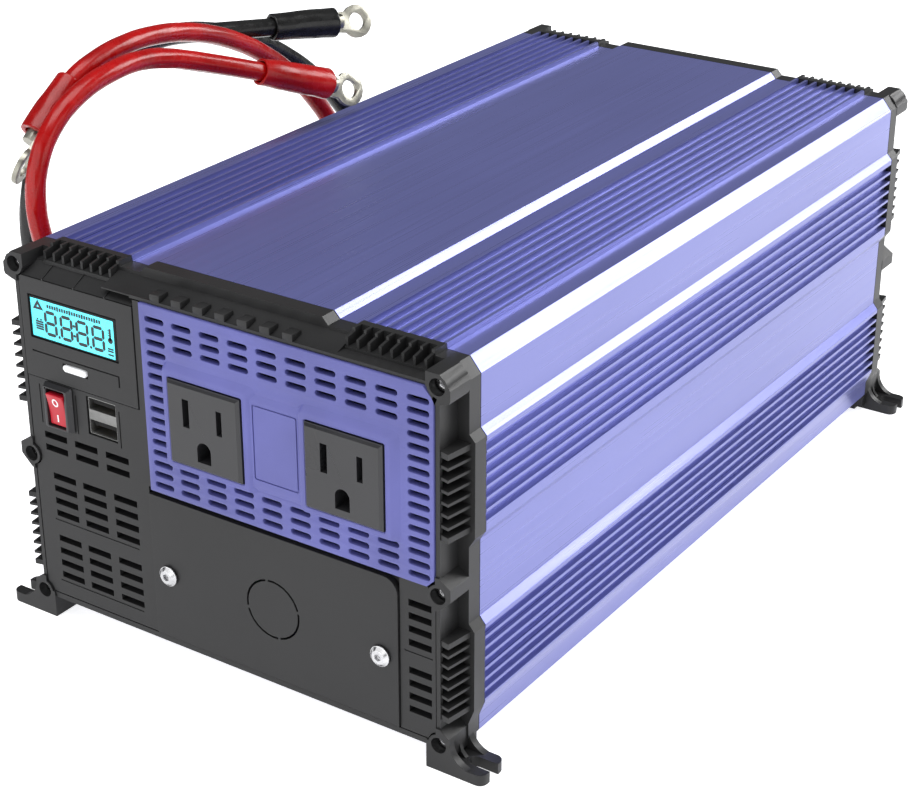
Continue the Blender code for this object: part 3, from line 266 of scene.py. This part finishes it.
def block(soup, xs, ys, zs):
    """Adds a box to the mesh. Limits are in millimetres."""
    made = bmesh.ops.create_cube(soup, size=1.0)["verts"]
    size = [high - low for low, high in (xs, ys, zs)]
    middle = [(high + low) / 2 for low, high in (xs, ys, zs)]
    bmesh.ops.scale(soup, verts=made, vec=size)
    bmesh.ops.translate(soup, verts=made, vec=middle)
    return made


def mesh_object(name, soup):
    """Turns a mesh under construction into an object of the scene."""
    mesh = bpy.data.meshes.new(name)
    soup.to_mesh(mesh)
    soup.free()
    made = bpy.data.objects.new(name, mesh)
    bpy.context.scene.collection.objects.link(made)
    return made


def layers(soup, rings, cap_last=True, cap_first=False, loop=False):
    """Skins a stack of outlines. Each ring is a depth y and its x, z points.

    A loop joins the last outline back to the first, which closes a hollow ring.
    """
    stack = [[soup.verts.new((x, y, z)) for x, z in points] for y, points in rings]
    pairs = list(zip(stack, stack[1:]))
    if loop:
        pairs.append((stack[-1], stack[0]))
    for one, other in pairs:
        count = len(one)
        for i in range(count):
            j = (i + 1) % count
            soup.faces.new((one[i], one[j], other[j], other[i]))
    if cap_first:
        soup.faces.new(reversed(stack[0]))
    if cap_last and not loop:
        soup.faces.new(stack[-1])


# ---------------------------------------------------------------- CAD nodes


def shade_by_angle():
    """A modifier group that shades faces smooth, except across edges sharper than 34 degrees."""
    group = bpy.data.node_groups.new("shade_by_angle", "GeometryNodeTree")
    group.interface.new_socket("Geometry", in_out="INPUT", socket_type="NodeSocketGeometry")
    group.interface.new_socket("Geometry", in_out="OUTPUT", socket_type="NodeSocketGeometry")
    start = group.nodes.new("NodeGroupInput")
    end = group.nodes.new("NodeGroupOutput")
    faces = group.nodes.new("GeometryNodeSetShadeSmooth")
    edges = group.nodes.new("GeometryNodeSetShadeSmooth")
    edges.domain = "EDGE"
    angle = group.nodes.new("GeometryNodeInputMeshEdgeAngle")
    sharp = group.nodes.new("FunctionNodeCompare")
    sharp.operation = "LESS_THAN"
    sharp.inputs["B"].default_value = math.radians(34)
    group.links.new(angle.outputs["Unsigned Angle"], sharp.inputs["A"])
    group.links.new(start.outputs["Geometry"], faces.inputs["Geometry"])
    group.links.new(faces.outputs["Geometry"], edges.inputs["Geometry"])
    group.links.new(sharp.outputs["Result"], edges.inputs["Shade Smooth"])
    group.links.new(edges.outputs["Geometry"], end.inputs["Geometry"])
    return group


SHADING = shade_by_angle()


def shade(piece):
    piece.modifiers.new("shading", "NODES").node_group = SHADING


def round_edges(piece, width, segments=2, angle=30.0):
    bevel = piece.modifiers.new("edges", "BEVEL")
    bevel.width = width * MM
    bevel.segments = segments
    bevel.limit_method = "ANGLE"
    bevel.angle_limit = math.radians(angle)
    bevel.use_clamp_overlap = True
    bevel.miter_outer = "MITER_ARC"


WELD_GAP = 2e-6


def weld(piece):
    """Joins the loose triangles that a CAD node arrives as."""
    piece.modifiers.new("weld", "WELD").merge_threshold = WELD_GAP


def swell(node, distance, wrinkle=0.0):
    """Rounds a faceted CAD tube, gives it back the thickness this costs, and wrinkles it."""
    smooth = node.modifiers.new("smooth", "SUBSURF")
    smooth.levels = smooth.render_levels = 2
    grow = node.modifiers.new("grow", "DISPLACE")
    grow.mid_level = 0.0
    grow.strength = distance * MM
    if wrinkle:
        clouds = bpy.data.textures.new("wrinkles", "CLOUDS")
        clouds.noise_scale = 0.007
        dents = node.modifiers.new("wrinkles", "DISPLACE")
        dents.texture = clouds
        dents.texture_coords = "LOCAL"
        dents.mid_level = 0.5
        dents.strength = wrinkle * MM


# Widths of the rounded edges, in millimetres.
ROUNDED = {
    "case_extrusion": 0.28,
    "front_frame": 0.3,
    "rear_frame": 0.3,
    "front_grille": 0.25,
    "control_panel": 0.25,
    "wiring_cover": 0.3,
    "switch_housing": 0.35,
    "outlet_left": 0.3,
    "outlet_right": 0.3,
    "rear_panel": 0.3,
    "fan_frame_left": 0.4,
    "fan_frame_right": 0.4,
    "fan_rotor_left": 0.3,
    "fan_rotor_right": 0.3,
    "terminal_collar_red": 0.6,
    "terminal_collar_black": 0.6,
    "terminal_nut_red": 0.4,
    "terminal_nut_black": 0.4,
    "terminal_stud_red": 0.3,
    "terminal_stud_black": 0.3,
    "ground_screw": 0.3,
    "cover_screw_left": 0.25,
    "cover_screw_right": 0.25,
    "transformer_front": 0.5,
    "transformer_rear": 0.5,
    "bus_capacitor": 0.8,
    "input_capacitor_left": 0.6,
    "input_capacitor_right": 0.6,
}


def panel_grooves():
    """Grooves round the menu row, the switch and the ports, and across the vent panel."""
    face = limits("control_panel")[2]
    deep = (face - 0.5, face + 0.55)
    x0, x1, _, _, z0, _ = limits("lcd_window")
    menu = z0 - 4.5
    grille = limits("front_grille")
    switch = limits("switch_housing")
    ports = limits("usb_module")
    wide = 0.5

    def upright(x, low, high):
        return [(x, low), (x + wide, low), (x + wide, high), (x, high)]

    def level(start, end, z):
        return [(start, z), (end, z), (end, z + wide), (start, z + wide)]

    corner = x1 + 0.1
    return deep, {
        "control_panel": [[
            (x0 - 0.3, menu - wide), (corner - wide, menu - wide), (corner - wide, menu - 4.0),
            (corner, menu - 4.0), (corner, menu), (x0 - 0.3, menu),
        ]],
        "front_grille": [
            upright(switch[0] - 3.0, switch[4] + 0.2, switch[5] - 2.0),
            upright(switch[1] + 0.9, switch[4] + 0.2, switch[5] - 2.0),
            upright(ports[1] + 1.4, ports[4] - 1.5, ports[5] - 1.5),
            level(grille[0] + 6.2, ports[1] + 6.0, 37.5),
            level(grille[0] + 6.2, ports[1] + 6.0, 14.7),
            level(grille[1] - 11.0, grille[1] - 1.0, 37.1),
        ],
    }


GROOVE_DEPTHS, GROOVES = panel_grooves()


def groove_cutter(name, outlines, depths):
    """A hidden cutter: closed outlines in x and z, none touching another, run through in y."""
    soup = bmesh.new()
    for points in outlines:
        layers(soup, [(y, points) for y in depths], cap_first=True)
    bmesh.ops.recalc_face_normals(soup, faces=soup.faces)
    bmesh.ops.scale(soup, verts=soup.verts, vec=(MM, MM, MM))
    cutter = mesh_object(name, soup)
    cutter.hide_render = True
    cutter.display_type = "WIRE"
    return cutter


def engrave(node, outlines, depths):
    """Cuts thin grooves into a CAD node."""
    groove = node.modifiers.new("grooves", "BOOLEAN")
    groove.operation = "DIFFERENCE"
    groove.object = groove_cutter(f"{node.name}_grooves", outlines, depths)


def finish_cad_nodes():
    for entry in frame["record"]["subparts"]:
        name = entry["node"]
        node = nodes[name]
        node.data.materials.clear()
        node.data.materials.append(MATERIALS[entry["material_slot"]])
        weld(node)
        if name in GROOVES:
            engrave(node, GROOVES[name], GROOVE_DEPTHS)
        if name.endswith("_cable"):
            swell(node, 0.24)
        elif name.endswith("_sleeve"):
            round_edges(node, 0.4)
            swell(node, 0.1, wrinkle=0.9)
        elif name.endswith("_lug"):
            round_edges(node, 0.25)
        elif name in ROUNDED:
            round_edges(node, ROUNDED[name])
        elif name.startswith(("front_screw", "rear_screw")):
            round_edges(node, 0.2)
        shade(node)
        if name in ROUNDED:
            node.modifiers.new("flat_normals", "WEIGHTED_NORMAL").keep_sharp = True


finish_cad_nodes()


# ---------------------------------------------------------------- new pieces


def disc(soup, centre, radius, ys, sides=32, end_radius=None):
    """Adds a short cylinder or cone along Y. The end radius is the one at the front, at low y."""
    made = bmesh.ops.create_cone(
        soup, cap_ends=True, segments=sides, radius1=radius if end_radius is None else end_radius,
        radius2=radius, depth=ys[1] - ys[0],
    )["verts"]
    bmesh.ops.rotate(soup, verts=made, matrix=Matrix.Rotation(-math.pi / 2, 3, "X"))
    bmesh.ops.translate(soup, verts=made, vec=(centre[0], (ys[0] + ys[1]) / 2, centre[1]))
    return made


def rounded(x0, x1, z0, z1, radius, steps=5):
    """A rectangle with round corners, anticlockwise as seen from the front."""
    points = []
    for turn, x, z in (
        (0, x1 - radius, z1 - radius),
        (90, x0 + radius, z1 - radius),
        (180, x0 + radius, z0 + radius),
        (270, x1 - radius, z0 + radius),
    ):
        for i in range(steps + 1):
            angle = math.radians(turn + 90 * i / steps)
            points.append((x + radius * math.cos(angle), z + radius * math.sin(angle)))
    return points


def piece(name, soup, material, slot, body="case", edge=0.0, segments=2):
    """Makes a piece from a mesh in millimetres."""
    bmesh.ops.recalc_face_normals(soup, faces=soup.faces)
    bmesh.ops.scale(soup, verts=soup.verts, vec=(MM, MM, MM))
    made = mesh_object(name, soup)
    made.data.materials.append(material)
    if edge:
        round_edges(made, edge, segments)
    shade(made)
    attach(made, body)
    return made


def sheet(outline, holes, near, far, bevel):
    """A flat plate with holes between two depths, its edges rounded. Returns its mesh."""
    curve = bpy.data.curves.new("outline", "CURVE")
    curve.dimensions = "2D"
    curve.fill_mode = "BOTH"
    curve.extrude = (far - near) / 2 - bevel
    curve.bevel_depth = bevel
    curve.offset = -bevel
    curve.bevel_resolution = 1
    for ring in (outline, *holes):
        spline = curve.splines.new("POLY")
        spline.points.add(len(ring) - 1)
        for point, (x, z) in zip(spline.points, ring):
            point.co = (x, z, 0.0, 1.0)
        spline.use_cyclic_u = True
    guide = bpy.data.objects.new("outline", curve)
    bpy.context.scene.collection.objects.link(guide)
    graph = bpy.context.evaluated_depsgraph_get()
    mesh = bpy.data.meshes.new_from_object(guide.evaluated_get(graph))
    bpy.data.objects.remove(guide, do_unlink=True)
    soup = bmesh.new()
    soup.from_mesh(mesh)
    bpy.data.meshes.remove(mesh)
    bmesh.ops.remove_doubles(soup, verts=soup.verts, dist=0.001)
    bmesh.ops.rotate(soup, verts=soup.verts, matrix=Matrix.Rotation(math.pi / 2, 3, "X"))
    bmesh.ops.translate(soup, verts=soup.verts, vec=(0, (near + far) / 2, 0))
    return soup


# ---------------------------------------------------------------- outlet panel

OUTLETS = [limits("outlet_left"), limits("outlet_right")]
PANEL = limits("outlet_panel")
PLANE = PANEL[3] - 2.6  # the panel's field


def panel_slots():
    """Round-ended vents: a column at each side, and three rows above and below the outlets."""
    height, width, pitch, top = 1.8, 7.4, 3.68, PANEL[5] - 3.6
    slots = []
    for row in range(16):
        lefts = [PANEL[0] + 2.2, PANEL[1] - 8.8]
        if row < 3 or row > 12:
            lefts += [PANEL[0] + 12.6 + 10.54 * i for i in range(8)]
        high = top - pitch * row
        slots += [rounded(x, x + width, high - height, high, 0.85, 3) for x in lefts]
    return slots


def panel_outline(top_chamfer=3.4, bottom_chamfer=2.6):
    x0, x1, _, _, z0, z1 = PANEL
    return [
        (x0, z0), (x1 - bottom_chamfer, z0), (x1, z0 + bottom_chamfer),
        (x1, z1 - top_chamfer), (x1 - top_chamfer, z1), (x0, z1),
    ]


def make_outlet_panel():
    gap = 0.3
    holes = panel_slots()
    for x0, x1, _, _, z0, z1 in OUTLETS:
        holes.append(rounded(x0 - gap, x1 + gap, z0 - gap, z1 + gap, 0.6, 3))
    soup = sheet(panel_outline(), holes, PLANE, PANEL[3], 0.28)
    face = piece("panel_face", soup, MATERIALS["blue_plastic"], "blue_plastic")
    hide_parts("outlet_panel")
    for label, (x0, x1, _, _, z0, z1) in zip(("left", "right"), OUTLETS):
        soup = bmesh.new()
        land = 2.3
        rings = [
            (PLANE + 0.1, rounded(x0 - land - 0.6, x1 + land + 2.6, z0 - land - 0.8,
                                  z1 + land + 2.4, 2.6)),
            (PLANE - 1.0, rounded(x0 - land - 0.2, x1 + land + 0.5, z0 - land - 0.2,
                                  z1 + land + 0.5, 1.6)),
            (PLANE - 1.32, rounded(x0 - land + 0.1, x1 + land, z0 - land + 0.1, z1 + land, 1.3)),
            (PLANE - 1.4, rounded(x0 - land + 0.5, x1 + land - 0.4, z0 - land + 0.5,
                                  z1 + land - 0.4, 1.1)),
            (PLANE - 1.4, rounded(x0 - gap - 0.3, x1 + gap + 0.3, z0 - gap - 0.3,
                                  z1 + gap + 0.3, 0.8)),
            (PLANE - 1.1, rounded(x0 - gap, x1 + gap, z0 - gap, z1 + gap, 0.6)),
            (PLANE + 0.3, rounded(x0 - gap, x1 + gap, z0 - gap, z1 + gap, 0.6)),
        ]
        layers(soup, rings, loop=True)
        piece(f"outlet_surround_{label}", soup, MATERIALS["blue_plastic"], "blue_plastic")
    soup = bmesh.new()
    left, right = OUTLETS[0][1] + 2.0, OUTLETS[1][0] - 2.0
    low, high = OUTLETS[0][4] - 1.6, OUTLETS[0][5] + 2.6
    groove = rounded(left + 1.9, right - 1.2, low + 4.2, high - 3.0, 0.8)
    inner = rounded(left + 2.4, right - 1.7, low + 4.7, high - 3.5, 0.6)
    rings = [
        (PLANE + 0.1, rounded(left, right, low, high, 0.8)),
        (PLANE - 0.6, rounded(left + 0.1, right - 0.1, low + 1.2, high - 1.6, 0.8)),
        (PLANE - 0.8, rounded(left + 0.3, right - 0.3, low + 1.6, high - 2.0, 0.8)),
        (PLANE - 0.8, groove),
        (PLANE - 0.45, groove),
        (PLANE - 0.45, inner),
        (PLANE - 0.8, inner),
    ]
    layers(soup, rings, cap_first=True)
    piece("outlet_bridge", soup, MATERIALS["blue_plastic"], "blue_plastic")


# ---------------------------------------------------------------- display and menu button

WINDOW = limits("lcd_window")
FACE = limits("control_panel")[2]

TRIANGLE = [math.radians(90 + 120 * i) for i in range(3)]
INK_THICKNESS = 0.12
STROKE_WIDTH = 1.1
INK_LIFT = 0.07  # how far the ink stands in front of the lit face
LIT_DEPTH = 0.42  # the lit face, behind the panel's face

# Strokes of a seven-segment digit: middle x, middle z, half length, upright or not, in half widths.
STROKES = (
    (0, 1, False), (0, 0, False), (0, -1, False),
    (-1, 0.5, True), (1, 0.5, True), (-1, -0.5, True), (1, -0.5, True),
)


def stroke(soup, x, z, length, thick, upright, y):
    """One pointed bar of a digit."""
    half, tip = length / 2, thick / 2
    shape = [
        (-half, 0), (-half + tip, -tip), (half - tip, -tip),
        (half, 0), (half - tip, tip), (-half + tip, tip),
    ]
    if upright:
        shape = [(-b, a) for a, b in shape]
    layers(soup, [(y + INK_THICKNESS, [(x + a, z + b) for a, b in shape]),
                  (y, [(x + a, z + b) for a, b in shape])], cap_first=True)


def make_display():
    x0, x1, _, _, z0, z1 = WINDOW
    lit = (x0 + 0.3, x1 - 1.1, z0 + 0.3, z1 - 0.8)
    soup = bmesh.new()
    rings = [
        (FACE + 2.9, rounded(x0, x1, z0, z1, 0.5)),
        (FACE + 0.35, rounded(x0, x1, z0, z1, 0.5)),
        (FACE + 0.2, rounded(x0 + 0.15, x1 - 0.15, z0 + 0.15, z1 - 0.15, 0.45)),
        (FACE + 0.2, rounded(*lit, 0.3)),
        (FACE + 0.5, rounded(*lit, 0.3)),
    ]
    layers(soup, rings, cap_first=True)
    # The window's walls and border: black plastic with painted recess shade.
    piece("display_border", soup, BLACK_AND_PAINTED_SHADE, "gloss_black_plastic")
    y = FACE + LIT_DEPTH
    soup = bmesh.new()
    rings = [
        (y + 1.5, rounded(*lit, 0.3)),
        (y + 0.06, rounded(*lit, 0.3)),
        (y, rounded(lit[0] + 0.06, lit[1] - 0.06, lit[2] + 0.06, lit[3] - 0.06, 0.28)),
    ]
    layers(soup, rings, cap_first=True)
    glass = piece("display_glass", soup, MATERIALS["display"], "display")
    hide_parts("lcd_window", "lcd_module")
    width, height = lit[1] - lit[0], lit[3] - lit[2]
    mark = y - INK_LIFT
    ink = (mark, mark + INK_THICKNESS)
    soup = bmesh.new()
    digit_z = lit[2] + height * 0.43
    half_w, half_h = width * 0.062, height * 0.285
    for i in range(4):
        digit_x = lit[0] + width * (0.235 + 0.19 * i)
        for across, up, upright in STROKES:
            length = half_h - 0.25 if upright else 2 * half_w - 0.4
            middle = (digit_x + across * half_w, digit_z + up * half_h)
            stroke(soup, *middle, length, STROKE_WIDTH, upright, mark)
    dots = [(0.33, -1.0), (0.52, -0.45), (0.52, 0.45), (0.71, -1.0)]
    for across, up in dots:
        disc(soup, (lit[0] + width * across, digit_z + half_h * up), 0.5, ink, 12)
    piece("display_digits", soup, INK, "display")
    soup = bmesh.new()
    # A triangle at the top left, ticks beside it, a battery below it, and a thermometer.
    tri_x, tri_z = lit[0] + width * 0.09, lit[3] - height * 0.19
    outer = [(tri_x + 2.5 * math.cos(a), tri_z + 2.2 * math.sin(a)) for a in TRIANGLE]
    inner = [(tri_x + 0.7 * math.cos(a), tri_z + 0.6 * math.sin(a)) for a in TRIANGLE]
    rings = [(ink[1], outer), (ink[0], outer), (ink[0], inner), (ink[1], inner)]
    layers(soup, rings, loop=True)
    for i in range(22):
        tick_x = lit[0] + width * 0.2 + i * 1.02
        tall = 0.75 if i % 5 == 4 else 0.58
        block(soup, (tick_x, tick_x + 0.72), ink,
              (lit[3] - height * 0.13 - tall, lit[3] - height * 0.13 + tall))
    cell_x, cell_z = lit[0] + width * 0.05, lit[2] + height * 0.2
    for row in range(4):
        block(soup, (cell_x, cell_x + 3.2), ink,
              (cell_z + row * 0.8, cell_z + row * 0.8 + 0.6))
    for side in (0.4, 1.9):
        block(soup, (cell_x + side, cell_x + side + 0.7), ink,
              (cell_z + 3.2, cell_z + 3.7))
    bulb_x, bulb_z = lit[1] - width * 0.05, lit[2] + height * 0.47
    disc(soup, (bulb_x, bulb_z), 1.0, ink, 16)
    block(soup, (bulb_x - 0.4, bulb_x + 0.4), ink, (bulb_z, bulb_z + 3.9))
    for i in range(3):
        block(soup, (bulb_x - 0.95, bulb_x - 0.45), ink,
              (bulb_z + 1.5 + i * 0.8, bulb_z + 1.75 + i * 0.8))
    for low in (1.0, 2.2, 3.0):
        block(soup, (bulb_x - 1.3, bulb_x + 1.0), ink, (lit[2] + low, lit[2] + low + 0.55))
    piece("display_icons", soup, INK, "display")


def make_menu_button():
    x0, x1, y0, y1, z0, z1 = limits("menu_button")
    x0, x1, z0, z1 = x0 + 1.3, x1 - 1.3, z0 + 1.3, z1 - 1.3
    radius = (z1 - z0) / 2 - 0.02
    soup = bmesh.new()
    rings = [
        (y1, rounded(x0, x1, z0, z1, radius, 8)),
        (y0 + 0.35, rounded(x0, x1, z0, z1, radius, 8)),
        (y0 + 0.1, rounded(x0 + 0.12, x1 - 0.12, z0 + 0.12, z1 - 0.12, radius - 0.12, 8)),
        (y0, rounded(x0 + 0.4, x1 - 0.4, z0 + 0.4, z1 - 0.4, radius - 0.4, 8)),
        (y0 + 0.12, rounded(x0 + 0.9, x1 - 0.9, z0 + 0.75, z1 - 0.75, radius - 0.75, 8)),
    ]
    layers(soup, rings, cap_first=True)
    cap = piece("menu_cap", soup, MATERIALS["white_plastic"], "white_plastic", body=MENU_BODY)
    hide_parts("menu_button")


# ---------------------------------------------------------------- rocker and USB ports


ROCKER_TILT = 8  # degrees, with the upper end standing out at rest
MARK_HEIGHT = 0.07


def make_rocker():
    """A shallow concave paddle with the usual circle and bar, tilted about its pivot."""
    pivot = Vector(ROCKER_JOINT["pos_m"]) / MM
    half, middle, end, back, wide = 5.55, -3.6, -4.05, 1.6, 3.55
    tilt = Matrix.Translation(pivot) @ Matrix.Rotation(math.radians(ROCKER_TILT), 4, "X")

    def depth(z):
        return middle + (end - middle) * (z / half) ** 2

    heights = [-half + 2 * half * i / 12 for i in range(13)]
    profile = [(depth(z), z) for z in heights]
    profile += [(end + 2.6, half - 0.35), (back, 1.6), (back, -1.6), (end + 2.6, -half + 0.35)]
    soup = bmesh.new()
    left, right = ([soup.verts.new((x, y, z)) for y, z in profile] for x in (-wide, wide))
    for i in range(len(profile)):
        j = (i + 1) % len(profile)
        soup.faces.new((left[i], left[j], right[j], right[i]))
    soup.faces.new(left)
    soup.faces.new(right)
    bmesh.ops.transform(soup, verts=soup.verts, matrix=tilt)
    paddle = piece(
        "rocker_paddle", soup, MATERIALS["red_plastic"], "red_plastic", ROCKER_BODY, 0.4, 3
    )
    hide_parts("switch_rocker")
    soup = bmesh.new()
    circle = [math.radians(15 * i) for i in range(24)]
    outer = [(1.25 * math.cos(a), 2.75 + 1.5 * math.sin(a)) for a in circle]
    inner = [(0.75 * math.cos(a), 2.75 + 1.0 * math.sin(a)) for a in circle]
    rings = [(0.3, outer), (-MARK_HEIGHT, outer), (-MARK_HEIGHT, inner), (0.3, inner)]
    layers(soup, rings, loop=True)
    block(soup, (-0.27, 0.27), (-MARK_HEIGHT, 0.3), (-4.2, -1.7))
    for vert in soup.verts:
        vert.co.y += depth(vert.co.z)
    bmesh.ops.transform(soup, verts=soup.verts, matrix=tilt)
    piece("rocker_marks", soup, MATERIALS["white_plastic"], "white_plastic", ROCKER_BODY)


def make_usb():
    """Two ports in one plated shell: thin edges, a broad bar between them, and black inside,
    darkened further with painted shade.
    """
    x0, x1, y0, _, z0, z1 = limits("usb_module")
    wall = 0.3
    bar = (z0 + 4.9, z0 + 8.4)
    ports = ((z0 + wall, bar[0]), (bar[1], z1 - wall))
    holes = [rounded(x0 + wall, x1 - wall, low, high, 0.3, 3) for low, high in ports]
    soup = sheet(rounded(x0, x1, z0, z1, 0.5, 4), holes, y0 + 0.3, y0 + 9.0, 0.06)
    shell = piece("usb_shell", soup, DULL_STEEL, "steel")
    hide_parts("usb_module")
    soup = bmesh.new()
    for low, high in ports:
        block(soup, (x0 + wall + 0.05, x1 - wall - 0.05), (y0 + 6.5, y0 + 8.5), (low, high))
        block(soup, (x0 + 1.3, x1 - 1.3), (y0 + 1.2, y0 + 7.0), (high - 2.0, high - 0.7))
    # The back walls and tongues of the ports: black plastic with painted recess shade.
    piece("usb_tongues", soup, BLACK_AND_PAINTED_SHADE, "gloss_black_plastic", edge=0.12)
    soup = bmesh.new()
    for low, high in ports:
        for i in range(4):
            x = (x0 + x1) / 2 + (i - 1.5) * 2.1
            block(soup, (x - 0.45, x + 0.45), (y0 + 1.6, y0 + 6.4), (high - 2.15, high - 1.95))
    piece("usb_contacts", soup, MATERIALS["brass"], "brass")


# ---------------------------------------------------------------- small trim


RIB_XS = (-67.6, -54.7, -42.1)
RIB_HALF = 0.2
TOOTH_MIDDLE, TOOTH_PITCH = 2.4, 8.25


def make_trim():
    """Teeth on the shelf over the blue panel, and thin ribs down the slope over the display."""
    top = PANEL[5]
    soup = bmesh.new()
    for i in range(-3, 4):
        x = TOOTH_MIDDLE + TOOTH_PITCH * i
        block(soup, (x - 1.85, x + 1.85), (PLANE + 0.85, PLANE + 5.3), (top + 1.1, top + 3.5))
    piece("hood_teeth", soup, MATERIALS["black_plastic"], "black_plastic", edge=0.25)
    soup = bmesh.new()
    edge = limits("control_panel")[5]
    for x in RIB_XS:
        section = [(PLANE + 0.5, edge - 0.2), (PLANE + 6.7, edge + 3.3), (PLANE + 6.7, edge + 4.0),
                   (PLANE + 0.35, edge + 0.55)]
        left, right = (
            [soup.verts.new((x + side, y, z)) for y, z in section]
            for side in (-RIB_HALF, RIB_HALF)
        )
        for i in range(4):
            soup.faces.new((left[i], left[(i + 1) % 4], right[(i + 1) % 4], right[i]))
        soup.faces.new(left)
        soup.faces.new(right)
    piece("hood_ribs", soup, MATERIALS["black_plastic"], "black_plastic")


# ---------------------------------------------------------------- stage


FLOOR_SIZE = 6.0
FLOOR_GAP = 0.0002  # keeps the floor clear of the feet's undersides


def make_stage():
    """A pale floor, a little brighter to the camera than to the object."""
    soup = bmesh.new()
    bmesh.ops.create_grid(soup, x_segments=1, y_segments=1, size=FLOOR_SIZE)
    floor = mesh_object("floor", soup)
    look = Look("floor")
    soft = look.noise(3.0)
    look.colour((0.86, 0.86, 0.87), (0.88, 0.88, 0.89), soft)
    look.roughness(0.6, 0.7, soft)
    glow = look.mix(soft, (0.97, 0.98, 1.0), (1.0, 1.0, 1.0))
    look.link(glow, look.shader.inputs["Emission Color"])
    seen = look.add("ShaderNodeLightPath").outputs["Is Camera Ray"]
    look.link(look.spread(seen, 0.5, 0.8, 0.0, 1.0), look.shader.inputs["Emission Strength"])
    floor.data.materials.append(look.material)
    floor.location.z = -FLOOR_GAP


def area_light(name, place, target, size, power):
    data = bpy.data.lights.new(name, "AREA")
    data.shape = "RECTANGLE"
    data.size, data.size_y = size
    data.energy = power
    light = bpy.data.objects.new(name, data)
    light.location = place
    light.rotation_euler = (Vector(target) - Vector(place)).to_track_quat("-Z", "Y").to_euler()
    bpy.context.scene.collection.objects.link(light)


def make_lights():
    """A dim surround that the camera sees as pale, and four soft boxes.

    One is overhead, one behind on the right, one in front and one on the right.
    """
    world = bpy.data.worlds.new("studio")
    world.use_nodes = True
    background = world.node_tree.nodes["Background"]
    background.inputs["Color"].default_value = (0.95, 0.97, 1.0, 1.0)
    seen = world.node_tree.nodes.new("ShaderNodeLightPath").outputs["Is Camera Ray"]
    strength = world.node_tree.nodes.new("ShaderNodeMapRange")
    strength.inputs["To Min"].default_value = 0.14
    strength.inputs["To Max"].default_value = 1.0
    world.node_tree.links.new(seen, strength.inputs["Value"])
    world.node_tree.links.new(strength.outputs["Result"], background.inputs["Strength"])
    bpy.context.scene.world = world
    middle = (0.0, 0.0, 0.07)
    area_light("overhead", (0.1, -0.2, 1.7), middle, (1.6, 1.2), 26.0)
    area_light("rear_right", (0.75, 1.2, 0.85), middle, (0.9, 0.7), 20.0)
    area_light("front_fill", (-0.3, -1.6, 0.5), middle, (3.0, 1.5), 26.0)
    area_light("right_fill", (1.6, -0.1, 0.5), middle, (1.0, 0.8), 4.0)


def make_camera():
    data = bpy.data.cameras.new("camera")
    data.lens = 82.4
    data.sensor_width = 36.0
    camera = bpy.data.objects.new("camera", data)
    camera.location = (0.3652, -0.5691, 0.3650)
    camera.rotation_euler = (math.radians(90 - 25.65), 0.0, math.radians(34.06))
    bpy.context.scene.collection.objects.link(camera)
    bpy.context.scene.camera = camera


make_outlet_panel()
make_display()
make_menu_button()
make_rocker()
make_usb()
make_trim()
make_stage()
make_lights()
make_camera()
bpy.context.scene.view_settings.view_transform = "Standard"
